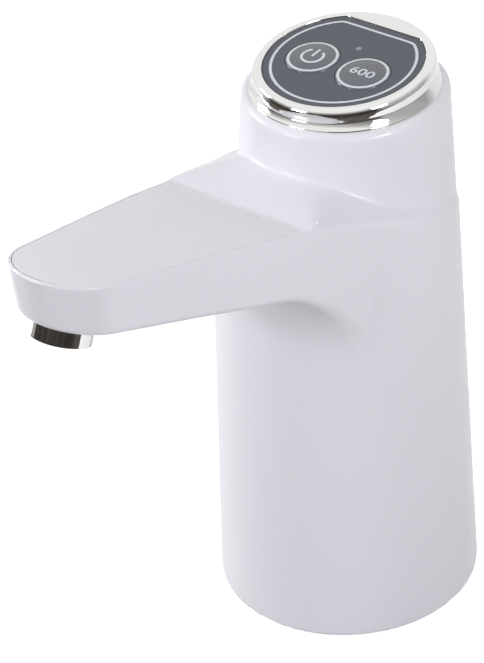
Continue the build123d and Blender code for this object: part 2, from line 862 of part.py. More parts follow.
def charge_arm_levels():
    """Heights of the arms that carry the charging board."""
    return (charge_board_bottom + charge_arm_thickness,
            charge_board_bottom + charge_board_height - charge_arm_thickness)


def charge_screw_place():
    """Distance of the charging board's screws from the middle."""
    return charge_board_width / 2 - charge_arm_width / 2


def make_chassis_screws():
    """Screws that hold the chassis to the sleeve's feet."""
    one = Rot(180, 0, 0) * screw(
        chassis_screw_radius - thread_gap / 2, chassis_screw_head, chassis_screw_head_height,
        chassis_plate + foot_height - nib)
    level = chassis_level + chassis_plate
    return Compound([
        Rot(0, 0, angle) * Pos(foot_place_radius, 0, level) * one for angle in foot_angles_deg])


def on_pump(level):
    """Place on the pump's upright axis at a height."""
    return Pos(0, -pump_front, level)


def pump_screw_holes(shape, gap):
    """The shape with the four long screw holes through it."""
    for angle in screw_angles(pump_screw_count):
        shape -= Rot(0, 0, angle) * Pos(screw_place_radius, 0, -overrun) * upright(
            pump_screw_radius + gap, 3 * overrun)
    return shape


def cup_angles():
    """Angles of the pump's cups about its axis."""
    return [90 + 360 / cup_count * i for i in range(cup_count)]


def make_pump_head():
    """Head with the inlet and outlet tails and the two chambers behind them."""
    head = upright(pump_radius, head_height)
    for side in (-1, 1):
        head += Pos(0, side * pump_barb_place, -pump_barb_length) * upright(pump_barb_radius, pump_barb_length)
    chamber = upright(pump_chamber_radius, pump_chamber_depth)
    chamber -= block(2 * pump_chamber_radius, pump_divider, pump_chamber_depth)
    head -= Pos(0, 0, head_height - pump_chamber_depth) * chamber
    for side in (-1, 1):
        head -= Pos(0, side * pump_barb_place, -pump_barb_length) * upright(
            pump_port_radius, pump_barb_length + head_height - pump_chamber_depth)
    for angle in screw_angles(pump_screw_count):
        head -= Rot(0, 0, angle) * Pos(screw_place_radius, 0, 0) * upright(
            pump_screw_head + thread_gap, pump_screw_head_height)
    return on_pump(head_bottom) * pump_screw_holes(head, thread_gap)


def make_valve_plate():
    """Plate with the inlet and outlet ports of each cup."""
    plate = upright(pump_radius, valve_plate_height)
    for angle in cup_angles():
        plate -= Rot(0, 0, angle) * Pos(cup_place_radius, 0, 0) * upright(
            flap_stem_radius + thread_gap / 2, valve_plate_height)
        for turn in (-1, 1):
            port = Pos(0, turn * (flap_stem_radius + port_hole_radius), 0) * upright(
                port_hole_radius / 2, valve_plate_height)
            plate -= Rot(0, 0, angle) * Pos(cup_place_radius, 0, 0) * port
    return on_pump(valve_level) * pump_screw_holes(plate, thread_gap)


def make_valve_flaps():
    """Small umbrella flaps under the valve plate, one for each cup."""
    flap = Pos(0, 0, -flap_thickness) * upright(flap_radius, flap_thickness)
    flap += upright(flap_stem_radius, valve_plate_height - nib)
    return Compound([
        on_pump(valve_level) * Rot(0, 0, angle) * Pos(cup_place_radius, 0, 0) * flap for angle in cup_angles()])


def pin_frame():
    """Frame at the pivot of the wobble drive, Z along the leaning crank pin."""
    tilt = math.radians(pin_tilt_deg)
    pivot = (0, -pump_front, crank_level + pivot_above_flange)
    across = (math.cos(tilt), 0, -math.sin(tilt))
    return Plane(origin=pivot, x_dir=across, z_dir=(math.sin(tilt), 0, math.cos(tilt)))


def make_diaphragm():
    """Soft diaphragm: clamped flange and three cups that end at the wobble plate."""
    sheet = pump_screw_holes(upright(pump_radius, diaphragm_flange), thread_gap)
    cups = sheet
    for angle in cup_angles():
        place = Rot(0, 0, angle) * Pos(cup_place_radius, 0, 0)
        cups += place * upright(cup_radius, crank_height)
    for angle in cup_angles():
        place = Rot(0, 0, angle) * Pos(cup_place_radius, 0, 0)
        cups -= place * upright(cup_radius - cup_wall, diaphragm_flange + cup_wall)
    tilt = math.radians(pin_tilt_deg)
    plate_low = (wobble_lift - wobble_thickness / 2) / math.cos(tilt)
    peak = diaphragm_flange + pivot_above_flange + plate_low - cup_clearance
    drop = pump_radius * math.tan(tilt)
    below = upright(pump_radius, peak - drop) + Pos(0, 0, peak - drop) * Cone(
        pump_radius, 0, drop, align=(Align.CENTER, Align.CENTER, Align.MIN))
    return on_pump(diaphragm_level) * (cups & below)


def make_crank_case():
    """Case between diaphragm and motor, with bosses for the long screws."""
    case = upright(pump_radius, crank_height)
    case -= upright(pump_radius - crank_wall, crank_height - crank_roof)
    for angle in screw_angles(pump_screw_count):
        boss = upright(crank_boss_radius, crank_height - crank_roof)
        case += Rot(0, 0, angle) * Pos(screw_place_radius, 0, 0) * boss
    case -= upright(motor_boss_radius + thread_gap, crank_height)
    for angle in screw_angles(pump_screw_count):
        case -= Rot(0, 0, angle) * Pos(screw_place_radius, 0, 0) * upright(
            pump_screw_radius + thread_gap / 2, crank_height - crank_roof)
    return on_pump(crank_level) * case


def make_pump_screws():
    """Long screws from the head into the crank case."""
    one = screw(pump_screw_radius, pump_screw_head, pump_screw_head_height, pump_screw_length)
    level = head_bottom + pump_screw_head_height
    return Compound([
        on_pump(level) * Rot(0, 0, angle) * Pos(screw_place_radius, 0, 0) * one
        for angle in screw_angles(pump_screw_count)])


def make_motor_case():
    """Drawn steel can with the lower bearing boss."""
    can = upright(motor_radius, motor_length)
    can -= Pos(0, 0, motor_wall) * upright(motor_radius - motor_wall, motor_length)
    can += Pos(0, 0, -motor_boss_height) * upright(motor_boss_radius, motor_boss_height)
    can -= Pos(0, 0, -overrun) * upright(shaft_radius + shaft_gap, 2 * overrun)
    return on_pump(motor_level) * can


def make_motor_end_cap():
    """Plastic cap that closes the motor, with the upper bearing."""
    cap = upright(motor_radius, end_cap_height)
    cap += Pos(0, 0, end_cap_height) * upright(end_boss_radius, end_boss_height)
    cap -= upright(shaft_radius + shaft_gap, end_cap_height + end_boss_height / 2)
    for side in (-1, 1):
        cap -= Pos(side * terminal_place, 0, 0) * block(
            terminal_thickness + thread_gap, terminal_width + thread_gap, end_cap_height)
    return on_pump(motor_level + motor_length) * cap


def make_motor_terminals():
    """Two blades that carry the current into the motor."""
    blade = block(terminal_thickness, terminal_width, end_cap_height + terminal_height)
    return Compound([
        on_pump(motor_level + motor_length) * Pos(side * terminal_place, 0, 0) * blade for side in (-1, 1)])


def make_motor_magnets():
    """Two curved magnets against the can."""
    ring = tube(motor_radius - motor_wall, magnet_inner, rotor_length)
    ring -= block(magnet_opening, 4 * motor_radius, rotor_length)
    return on_pump(motor_level + motor_wall + commutator_length) * ring


def shaft_foot():
    """Height of the shaft's lower end, inside the eccentric hub."""
    hub_top = motor_level - crank_roof - hub_gap
    return hub_top - hub_height / 2 + hub_web / 2


def make_motor_shaft():
    """Steel shaft from the eccentric hub to the upper bearing."""
    top = motor_level + motor_length + end_cap_height
    return on_pump(shaft_foot()) * upright(shaft_radius, top - shaft_foot())


def make_motor_rotor():
    """Slotted armature with its commutator."""
    rotor = upright(rotor_radius, rotor_length)
    for i in range(rotor_slots):
        slot = Box(rotor_radius, rotor_slot_width, rotor_length, align=(Align.MIN, Align.CENTER, Align.MIN))
        rotor -= Rot(0, 0, 360 / rotor_slots * i) * Pos(rotor_radius / 2, 0, 0) * slot
    rotor += Pos(0, 0, rotor_length) * upright(commutator_radius, commutator_length)
    rotor -= upright(shaft_radius, rotor_length + commutator_length)
    return on_pump(motor_level + motor_wall + commutator_length) * rotor


def make_eccentric_hub():
    """Hub on the shaft's end that holds the leaning crank pin."""
    top = motor_level - crank_roof - hub_gap
    hub = on_pump(top - hub_height) * upright(hub_radius, hub_height)
    hub -= on_pump(shaft_foot()) * upright(shaft_radius, hub_height)
    return hub - crank_pin_solid()


def crank_pin_solid():
    """The leaning pin, from the wobble plate up into the hub."""
    rise = shaft_foot() - hub_web - (crank_level + pivot_above_flange)
    start = wobble_lift - wobble_thickness / 2
    length = rise / math.cos(math.radians(pin_tilt_deg)) - start - hub_web
    return pin_frame() * Pos(0, 0, start) * upright(pin_radius, length)


def make_wobble_plate():
    """Plate on the leaning pin that rocks the three cups in turn."""
    start = wobble_lift - wobble_thickness / 2
    plate = Pos(0, 0, start) * upright(wobble_radius, wobble_thickness)
    plate += Pos(0, 0, start) * upright(wobble_hub_radius, wobble_thickness + wobble_hub_height)
    for angle in cup_angles():
        notch = Rot(0, 0, angle + 180 / cup_count) * Pos(wobble_radius, 0, start) * upright(
            wobble_radius / 3, wobble_thickness)
        plate -= notch
    plate -= upright(pin_radius + pin_gap, overrun)
    return pin_frame() * plate


def make_battery_cell():
    """Steel can of the cell with its raised cap."""
    cell = upright(cell_radius, cell_length)
    cell += Pos(0, 0, cell_length) * upright(cell_cap_radius, cell_cap_height)
    return Pos(0, cell_back, cell_bottom) * cell


def make_battery_wrap():
    """Shrunk film around the cell, folded over its ends."""
    outer = cell_radius + wrap_thickness
    film = Pos(0, 0, -wrap_thickness) * upright(outer, cell_length + 2 * wrap_thickness)
    film -= upright(cell_radius, cell_length)
    film -= Pos(0, 0, -overrun) * upright(cell_radius - wrap_fold, overrun + cell_length + overrun)
    return Pos(0, cell_back, cell_bottom) * film


def make_battery_tabs():
    """Metal strips welded to the cell's ends."""
    strip = block(tab_width, tab_length, tab_thickness)
    top = cell_bottom + cell_length + cell_cap_height
    return Compound([Pos(0, cell_back, cell_bottom - tab_thickness) * strip, Pos(0, cell_back, top) * strip])


def make_charge_board():
    """Upright board that carries the charging socket."""
    board = Box(charge_board_width, charge_board_thickness, charge_board_height,
                align=(Align.CENTER, Align.MIN, Align.MIN))
    board = Pos(0, charge_board_back, charge_board_bottom) * board
    for side in (-1, 1):
        for level in charge_arm_levels():
            hole = Rot(-90, 0, 0) * upright(board_screw_radius + thread_gap, overrun)
            board -= Pos(side * charge_screw_place(), charge_board_back - nib, level) * hole
    return board


def make_charge_screws():
    """Screws that hold the charging board to the chassis arms."""
    one = upright(board_screw_head, board_screw_head_height) + Pos(0, 0, -charge_board_thickness) * upright(
        board_screw_radius, charge_board_thickness)
    face = charge_board_back + charge_board_thickness
    return Compound([
        Pos(side * charge_screw_place(), face, level) * Rot(-90, 0, 0) * one
        for side in (-1, 1) for level in charge_arm_levels()])


def charge_socket_end():
    """How far back the charging socket's mouth lies."""
    share = charge_port_height / column_height
    radius = base_radius + (column_top_radius - base_radius) * share
    return column_lean * share + radius - usb_setback


def make_charge_socket():
    """Metal shell of the charging socket, its mouth in the column's back."""
    face = charge_board_back + charge_board_thickness
    length = charge_socket_end() - face
    shell = extrude(SlotOverall(usb_width, usb_height), amount=length)
    shell -= Pos(0, 0, usb_wall) * extrude(
        SlotOverall(usb_width - 2 * usb_wall, usb_height - 2 * usb_wall), amount=length)
    tongue = block(usb_width * tongue_width_share, usb_tongue, length * tongue_length_share)
    return Pos(0, face, charge_port_height) * Rot(-90, 0, 0) * (shell + Pos(0, 0, usb_wall) * tongue)


def hose_solid(points, radii):
    """Soft hose along straight runs and tangent arcs."""
    path = FilletPolyline(*points, radius=radii)
    start = Plane(origin=path @ 0, z_dir=path % 0)
    solid = sweep(start * Circle(hose_radius), path=path)
    return solid - sweep(start * Circle(hose_bore), path=path)


def make_inlet_hose():
    """Straight soft hose from the inlet to the pump."""
    foot = inlet_thread_top + hose_end_gap
    return Pos(0, 0, foot) * tube(hose_radius, hose_bore, head_bottom - hose_end_gap - foot)


def make_outlet_hose():
    """Soft hose from the pump down, round and up the front, then along the arm."""
    top = head_bottom - hose_end_gap
    outlet = -pump_front - pump_barb_place
    turn = math.radians(arm_slope_deg)
    along = (hose_front - hose_depth_in_arm * math.sin(turn)) / math.cos(turn)
    corner = arm_point(along, 0, -hose_depth_in_arm)
    end = arm_point(tip_reach - elbow_radius - elbow_hose_stop, 0, -hose_depth_in_arm)
    points = [
        (0, outlet, top),
        (0, outlet, hose_low),
        (0, -hose_front, hose_low),
        (0, corner.Y, corner.Z),
        (0, end.Y, end.Z),
    ]
    return hose_solid(points, [hose_u_radius, hose_u_radius, hose_bend_radius])


def make_hose_clips():
    """Spring rings that grip the hoses on their tails."""
    ring = tube(hose_radius + clip_ring_wire, hose_radius, clip_ring_width)
    low = inlet_thread_top + 2 * hose_end_gap
    high = head_bottom - shelf_thickness - clip_ring_width - hose_end_gap
    along = tip_reach - elbow_radius - elbow_hose_stop - clip_ring_width
    in_arm = arm_plane * Pos(along, 0, -hose_depth_in_arm) * Rot(0, 90, 0) * ring
    return Compound([Pos(0, 0, low) * ring, Pos(0, 0, high) * ring, in_arm])


def make_spout_elbow():
    """Elbow on the nozzle that takes the hose."""
    top = -elbow_top_drop
    low = -nozzle_flange_drop + nozzle_flange_thickness
    body = Pos(tip_reach, 0, low) * upright(elbow_radius, top - low)
    length = elbow_radius + elbow_barb_length
    tail = Pos(tip_reach, 0, -hose_depth_in_arm) * Rot(0, -90, 0) * upright(pump_barb_radius, length)
    bore = Pos(tip_reach, 0, -hose_depth_in_arm) * Rot(0, -90, 0) * upright(elbow_bore, length)
    drop = Pos(tip_reach, 0, low) * upright(elbow_bore, -hose_depth_in_arm - low)
    return arm_plane * (body + tail - bore - drop)


def make_spout_nozzle():
    """Plated outlet under the arm's tip, its flange resting inside the arm."""
    top = -nozzle_flange_drop + nozzle_flange_thickness
    barrel = Pos(0, 0, -nozzle_drop) * upright(nozzle_radius, nozzle_drop + top)
    barrel = fillet(barrel.faces().sort_by(Axis.Z)[0].edges(), radius=nozzle_round)
    barrel += Pos(0, 0, -nozzle_flange_drop) * upright(nozzle_radius + nozzle_flange, nozzle_flange_thickness)
    bore_top = -nozzle_flange_drop
    barrel -= Pos(0, 0, -nozzle_drop) * upright(nozzle_radius - nozzle_wall, nozzle_drop + bore_top)
    barrel -= Pos(0, 0, -nozzle_drop) * upright(elbow_bore, nozzle_drop)
    return arm_plane * Pos(tip_reach, 0, 0) * barrel


def make_nozzle_insert():
    """Flow straightener in the nozzle's mouth, a ring of small holes around a middle one."""
    disc = upright(nozzle_radius - nozzle_wall, insert_height)
    disc -= upright(insert_hole, insert_height)
    for i in range(insert_ring_count):
        disc -= Rot(0, 0, 360 / insert_ring_count * i) * Pos(insert_ring_radius, 0, 0) * upright(
            insert_hole, insert_height)
    return arm_plane * Pos(tip_reach, 0, -nozzle_drop + insert_setback) * disc


def wire_solid(points):
    """Thin insulated wire along straight runs and tangent arcs."""
    if len(points) == 2:
        path = Line(*points)
    else:
        path = FilletPolyline(*points, radius=wire_bend)
    return sweep(Plane(origin=path @ 0, z_dir=path % 0) * Circle(wire_radius), path=path)


def make_motor_leads():
    """Two wires from the motor's terminals to the control board."""
    start = motor_level + motor_length + end_cap_height + terminal_height + wire_radius
    x, y = board_socket_places()[0]
    end = panel_point(x, y, -board_drop - board_thickness - socket_height)
    wires = []
    for side in (-1, 1):
        wires.append(wire_solid([
            (side * terminal_place, -pump_front, start),
            (side * terminal_place, -pump_front, start + 2 * wire_bend),
            (side * wire_pair, end.Y, start + 5 * wire_bend),
            (side * wire_pair, end.Y, end.Z - wire_radius),
        ]))
    return Compound(wires)


def make_battery_leads():
    """Wires from both ends of the cell to the control board."""
    x, y = board_socket_places()[1]
    end = panel_point(x, y, -board_drop - board_thickness - socket_height)
    top = cell_bottom + cell_length + cell_cap_height + tab_thickness
    side = cell_radius + clip_wall + 2 * wire_radius
    low = cell_bottom - tab_thickness - wire_radius
    plus = wire_solid([(-wire_pair, end.Y, top), (-wire_pair, end.Y, end.Z - wire_radius)])
    back = cell_back + cell_foot_radius + 2 * wire_radius
    minus = wire_solid([
        (0, back, low),
        (side, back, low),
        (side, back, top + wire_bend),
        (wire_pair, end.Y, top + 2 * wire_bend),
        (wire_pair, end.Y, end.Z - wire_radius),
    ])
    return Compound([plus, minus])


def all_parts():
    """Every node with its solid."""
    return {
        "main_body": make_main_body(),
        "arm_cover": make_arm_cover(),
        "chrome_ring": make_chrome_ring(),
        "control_panel": make_control_panel(),
        "panel_carrier": make_panel_carrier(),
        "power_button": make_key(0),
        "amount_button": make_key(1),
        "power_plunger": make_plunger(0),
        "amount_plunger": make_plunger(1),
        "key_switches": make_key_switches(),
        "control_board": make_control_board(),
        "board_screws": make_board_screws(),
        "board_parts": make_board_parts(),
        "status_led": make_status_led(),
        "status_lens": make_status_lens(),
        "neck_sleeve": make_neck_sleeve(),
        "neck_gasket": make_neck_gasket(),
        "base_rim": make_base_rim(),
        "base_screws": make_base_screws(),
        "inlet_barb": make_inlet_barb(),
        "inlet_nut": make_inlet_nut(),
        "chassis": make_chassis(),
        "chassis_screws": make_chassis_screws(),
        "pump_head": make_pump_head(),
        "valve_plate": make_valve_plate(),
        "valve_flaps": make_valve_flaps(),
        "diaphragm": make_diaphragm(),
        "crank_case": make_crank_case(),
        "pump_screws": make_pump_screws(),
        "eccentric_hub": make_eccentric_hub(),
        "crank_pin": crank_pin_solid(),
        "wobble_plate": make_wobble_plate(),
        "motor_case": make_motor_case(),
        "motor_end_cap": make_motor_end_cap(),
        "motor_terminals": make_motor_terminals(),
        "motor_magnets": make_motor_magnets(),
        "motor_shaft": make_motor_shaft(),
        "motor_rotor": make_motor_rotor(),
        "battery_cell": make_battery_cell(),
        "battery_wrap": make_battery_wrap(),
        "battery_tabs": make_battery_tabs(),
        "charge_board": make_charge_board(),
        "charge_screws": make_charge_screws(),
        "charge_socket": make_charge_socket(),
        "inlet_hose": make_inlet_hose(),
        "outlet_hose": make_outlet_hose(),
        "hose_clips": make_hose_clips(),
        "spout_elbow": make_spout_elbow(),
        "spout_nozzle": make_spout_nozzle(),
        "nozzle_insert": make_nozzle_insert(),
        "motor_leads": make_motor_leads(),
        "battery_leads": make_battery_leads(),
    }


def main():
    os.makedirs("parts", exist_ok=True)
    for name, shape in all_parts().items():
        export_step(shape, f"parts/{name}.step")


main()
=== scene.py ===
import math
import bmesh
import bpy
import numpy as np
from mathutils import Matrix, Vector


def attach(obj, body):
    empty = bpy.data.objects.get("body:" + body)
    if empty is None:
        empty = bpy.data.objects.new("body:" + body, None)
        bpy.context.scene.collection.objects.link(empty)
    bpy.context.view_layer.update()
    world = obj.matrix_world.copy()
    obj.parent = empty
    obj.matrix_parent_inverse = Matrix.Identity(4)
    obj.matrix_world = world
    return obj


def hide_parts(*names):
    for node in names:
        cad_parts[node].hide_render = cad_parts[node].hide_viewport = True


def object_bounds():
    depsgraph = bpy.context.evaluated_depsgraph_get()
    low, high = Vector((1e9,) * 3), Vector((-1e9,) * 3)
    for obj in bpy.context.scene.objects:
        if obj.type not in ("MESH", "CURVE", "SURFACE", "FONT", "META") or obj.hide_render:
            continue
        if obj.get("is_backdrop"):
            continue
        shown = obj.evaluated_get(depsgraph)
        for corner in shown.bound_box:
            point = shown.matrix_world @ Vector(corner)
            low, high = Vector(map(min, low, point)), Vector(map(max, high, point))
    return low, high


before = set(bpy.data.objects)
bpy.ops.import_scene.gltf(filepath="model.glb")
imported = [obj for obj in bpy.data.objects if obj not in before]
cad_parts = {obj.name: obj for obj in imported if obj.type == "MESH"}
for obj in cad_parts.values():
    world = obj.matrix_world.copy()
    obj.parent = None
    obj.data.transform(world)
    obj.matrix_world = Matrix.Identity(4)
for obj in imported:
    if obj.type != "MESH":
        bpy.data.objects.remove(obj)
cad_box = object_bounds()

# Sizes in millimetres, +Z up, spout towards -Y. MM turns them into scene units.
MM = 0.001

# Camera, from the photograph
CAMERA_PLACE = (414.183, -507.830, 533.252)
CAMERA_RIGHT = (0.774821, 0.628888, -0.064448)
CAMERA_UP = (-0.315422, 0.472926, 0.822709)
CAMERA_BACK = (0.547870, -0.617124, 0.564798)
SENSOR_WIDTH = 36.0
FOCAL_PIXELS = 2750.0
PHOTO_WIDTH = 484.0

# Column and lower body
BASE_RADIUS = 39.0
BASE_GAP = 0.6
COLUMN_HEIGHT = 160.0
COLUMN_TOP_RADIUS = 28.9
COLUMN_LEAN = 9.4
SHOULDER_ROUND = 2.0
SKIRT_HEIGHT = 150.0
SKIRT_TOP_RADIUS = 33.9
SKIRT_LEAN = 2.6
WALL = 2.3
FOOT_ROUND = 0.6
# Land under the wall: inset from the base radius, level over the base gap
FOOT_PROFILE = ((0.9, 0.1), (1.0, -0.03), (WALL - 0.2, -0.03), (WALL, 0.2), (WALL + 0.2, 5.4))

# Arm; values that end in FROM, FULL, FALL or TO are places along it
ARM_SLOPE = math.radians(14.6)
RIM_HEIGHT = 135.7
TIP_REACH = 106.3
TIP_RADIUS = 16.3
ARM_TAPER = math.radians(7.1)
ARM_BLEND = 200.0
ARM_DRAFT = math.radians(4.5)
ROOT_DRAFT = math.radians(2.0)
DRAFT_FROM = 35.0
DRAFT_TO = 85.0
TIP_DEPTH = 15.3
UNDER_SLOPE = math.radians(19.1)
UNDER_ARC = 21.0
UNDER_ROUND = 2.2
RIM_ROUND = 0.8
SOFT_RIM_ROUND = 2.0
SOFT_RIM_FROM = 4.0
SOFT_RIM_TO = 28.0
ROOT_SINK = 3.2
ROOT_SINK_FROM = -2.0
ROOT_SINK_TO = 38.0
ARM_CROWN = 0.6
ARM_CROWN_FROM = 38.0
ARM_CROWN_FULL = 60.0
ARM_CROWN_FALL = 65.0
ARM_CROWN_TO = 118.0
LEDGE_LAND = 1.3
LEDGE_TILT = 0.39
LEDGE_SIDE_TILT = 0.5
LEDGE_ROUND = 1.1
LEDGE_SHARE = 0.7
LEDGE_LEAST = 0.000001
BLEND_ROUND = 0.1
BLEND_LEAST = 0.02

# Skin of the white body and the openings that are left in it
SKIN_SPACING = 0.8
SKIN_MARGIN = 2.0
SKIN_ROUNDS = 4
SLOPE_STEP = 0.02
SLOPE_LEAST = 0.05
SETTLE_LONGEST = 1.0
LID_MARGIN = 0.1
LID_END_MARGIN = 0.2
LID_DEPTH = 0.3
RING_HOLE_DEPTH = 0.4
RING_HOLE_INSET = 1.2
FOOT_HOLE_RISE = 0.2
FOOT_HOLE_INSET = 1.6

# Arm cover
COVER_START = 41.3
COVER_RIM = 1.1
COVER_GAP = 0.1
COVER_END_GAP = 0.45
COVER_SHORT = 0.3
COVER_ASIDE = 0.2
COVER_THICKNESS = 2.0
COVER_ROUND = 0.15
COVER_END_ROUND = 0.45
COVER_CROWN = 0.7
COVER_CROWN_RUN = 12.0
COVER_CROWN_REACH = 15.0
COVER_COLUMNS = 24
RIM_STRIP = 0.4
RIM_STRIP_LOW = -0.1
RIM_STRIP_BELOW_COVER = 1.0
RIM_STRIP_END = 1.1
RIM_EDGE = 0.12
RIM_EDGE_END = 0.5
SHELF_REACH = (-0.1, COVER_GAP + 0.4)
GAP_SHALLOW = 0.7
GAP_DEEP_FROM = 104.0
GAP_DEEP_TO = 114.0
PROUD = 0.03
ROUND_STEPS = 5

# Panel and plated ring
PANEL_SLOPE = 0.0896
PANEL_HEIGHT = 167.3
PANEL_BACK = 9.1
PANEL_RADIUS = 22.5
PANEL_FLAT = 18.65
PANEL_CORNER = 0.6
FLAT_LEAST_SINE = 0.05
PANEL_THICKNESS = 1.2
PANEL_GAP = 0.1
LIP_RADIUS = 25.5
LIP_RISE = 0.45
LIP_DEPTH = 3.3
LIP_STEPS = 12
SEAT_RADIUS = 26.8
SEAT_EDGE = 0.4
# Foot of the ring: inset from the seat, level over the column's top
RING_FOOT = ((0.5, -0.3), (0.0, -0.1), (0.0, SEAT_EDGE - 0.15))
FLANGE_SHARES = (0.03, 0.08, 0.3, 0.6, 0.85, 0.94, 0.98)
RING_WALL_SHARES = (0.06, 0.2, 0.6)
# Inner edge of the lip: distance out from the panel's recess, level
LIP_INNER = (
    (0.54, LIP_RISE), (0.18, LIP_RISE - 0.06), (0.0, LIP_RISE - 0.24), (0.0, -PANEL_THICKNESS))
# Edge of the overlay: inset, level
PANEL_EDGE = ((0.0, -PANEL_THICKNESS), (0.0, -0.12), (0.05, -0.03), (0.15, 0.0))
CUT_LEVELS = (-3.0, 1.0)
KEY_WELL_GAP = 0.12
LENS_WELL_GAP = 0.06
KEY_SPACING = 8.62
KEY_FORWARD = 2.63
KEY_RADIUS = 7.7
KEY_RISE = 0.6
KEY_FOOT = 4.05
KEY_RING_RADIUS = 6.85
OUTLINE_RADIUS = 20.16
OUTLINE_FLAT = 16.2
OUTLINE_CORNER = 0.9
PRINT_WIDTH = 0.8
PRINT_LIFT = 0.04
LIP_ROUND = 1.7
LIP_ROUND_TALL = 2.2
FLANGE_SAG = 0.25
KEY_EDGE_RISE = 0.12
KEY_EDGE_ROUND = 0.3
KEY_EDGE_LOW = -0.35
KEY_SHARES = (0.9, 0.8, 0.65, 0.5, 0.3, 0.12)
DOME_POWER = 0.8
SYMBOL_RADIUS = 3.1
SYMBOL_OPENING = 70.0
SYMBOL_BAR_LOW = -0.3
SYMBOL_BAR_HIGH = 3.5
NUMBER_WIDTH = 7.6
NUMBER_HEIGHT = 3.1
NUMBER_WEIGHT = 0.012
LED_BACK = 7.12
LENS_RADIUS = 0.9
LENS_RISE = 0.16
LENS_FOOT = (-1.0, -0.02)
LENS_SHARES = (0.94, 0.82, 0.6, 0.3)

# Nozzle
NOZZLE_RADIUS = 8.1
NOZZLE_LEAN = math.radians(10.0)
NOZZLE_SHIFT = 0.6
NOZZLE_DROP = 20.5
NOZZLE_WALL = 1.0
NOZZLE_TOP = 11.8
NOZZLE_ROUND = 0.35

# Charging port and its frame: growth of the opening, corner radius, height over the back
PORT_HEIGHT = 137.0
PORT_WIDTH = 9.5
PORT_DEPTH = 3.8
PORT_PROFILE = (
    (2.6, 2.2, -0.1), (2.5, 2.15, 0.06), (2.2, 2.0, 0.14), (0.5, 1.15, 0.14), (0.15, 1.0, 0.06),
    (0.0, 0.9, -0.15), (0.0, 0.9, -WALL))

# Floor, lamps and world; places and sizes in metres, powers in watts
FLOOR_RADIUS = 3.0
FLOOR_COLOUR = (0.54, 0.54, 0.55)
FLOOR_GLOW = 0.80
FLOOR_GLOW_IN_GLOSS = 0.73
WORLD_COLOUR = (0.96, 0.97, 1.0)
WORLD_LEVEL = 0.40
LAMP_AIM = (0.0, -0.02, 0.09)
LAMPS = (
    ("softbox_left", (-0.59, -0.17, 0.38), 0.18, 1.90),
    ("softbox_front", (-0.16, -0.43, 0.32), 0.14, 0.68),
    ("softbox_right", (0.40, -0.10, 0.36), 0.14, 0.98),
    ("softbox_top", (0.0, 0.2, 1.3), 1.0, 0.2))

# Procedural marks: part of the noise's range that is used, depths of the grain in metres
MARK_LOW = 0.2
MARK_HIGH = 0.8
PLASTIC_GRAIN = 0.00005
METAL_GRAIN = 0.00003
SOFT_GRAIN = 0.00006
COAT_ROUGHNESS = 0.05

# Dark flag: its near edge as degrees from the camera's direction and distance
FLAG_EDGE = (
    (-126.0, 703.0), (-115.6, 261.0), (-110.3, 198.0), (-58.3, 209.0), (-17.9, 224.0),
    (13.3, 217.0), (33.7, 256.0), (69.0, 618.0))
FLAG_START = -118.0
FLAG_END = 118.0
FLAG_STEPS = 80
FLAG_ROWS = 12
FLAG_COLOURS = ((0.035, 0.026, 0.022), (0.12, 0.10, 0.085))
# Darkness of the flag: degrees, share
FLAG_SHADES = ((-118.0, -100.0, 30.0, 38.0, 98.0, 118.0), (0.0, 1.0, 1.0, 0.55, 0.55, 0.0))
FLAG_REACH = 760.0
FLAG_FULL = 280.0
FLAG_TOP = 920.0

slope_sin = math.sin(ARM_SLOPE)
slope_cos = math.cos(ARM_SLOPE)
rim_share = RIM_HEIGHT / SKIRT_HEIGHT
rim_radius = BASE_RADIUS + (SKIRT_TOP_RADIUS - BASE_RADIUS) * rim_share
rim_back = SKIRT_LEAN * rim_share


def smooth_step(value, low, high):
    """Smooth change from 0 at low to 1 at high."""
    t = np.clip((value - low) / (high - low), 0.0, 1.0)
    return t * t * (3.0 - 2.0 * t)


def top_rise(along):
    """Height of the arm's top over its sloping plane: sunk at the root, then slightly crowned."""
    sunk = 1.0 - smooth_step(along, ROOT_SINK_FROM, ROOT_SINK_TO)
    rising = smooth_step(along, ARM_CROWN_FROM, ARM_CROWN_FULL)
    falling = smooth_step(along, ARM_CROWN_FALL, ARM_CROWN_TO)
    return ARM_CROWN * rising * (1.0 - falling) - ROOT_SINK * sunk


def arm_to_world(along, across, up):
    """World place of a point along, across and over the arm's top."""
    up = up + float(top_rise(along))
    y = -slope_cos * along + slope_sin * up
    z = RIM_HEIGHT + slope_sin * along + slope_cos * up
    return across, y, z


def panel_to_world(x, y, up):
    """World place of a point on the sloping panel."""
    length = math.hypot(1.0, PANEL_SLOPE)
    cos, sin = 1.0 / length, PANEL_SLOPE / length
    return x, PANEL_BACK + cos * y - sin * up, PANEL_HEIGHT + sin * y + cos * up


def mesh_piece(name, points, faces, material, body="housing", smooth_angle=35.0):
    """Mesh object from points in millimetres, riding on a body."""
    mesh = bpy.data.meshes.new(name)
    mesh.from_pydata([tuple(c * MM for c in p) for p in points], [], [tuple(f) for f in faces])
    mesh.validate()
    builder = bmesh.new()
    builder.from_mesh(mesh)
    bmesh.ops.recalc_face_normals(builder, faces=builder.faces)
    limit = math.radians(smooth_angle)
    for face in builder.faces:
        face.smooth = True
    for edge in builder.edges:
        if len(edge.link_faces) == 2 and edge.calc_face_angle(0.0) > limit:
            edge.smooth = False
    builder.to_mesh(mesh)
    builder.free()
    piece = bpy.data.objects.new(name, mesh)
    bpy.context.scene.collection.objects.link(piece)
    mesh.materials.append(material)
    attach(piece, body)
    return piece


def loop_faces(loops, count):
    """Faces between closed loops of equal point counts."""
    faces = []
    for first in range(0, (loops - 1) * count, count):
        for j in range(count):
            k = (j + 1) % count
            faces.append((first + j, first + k, first + count + k, first + count + j))
    return faces


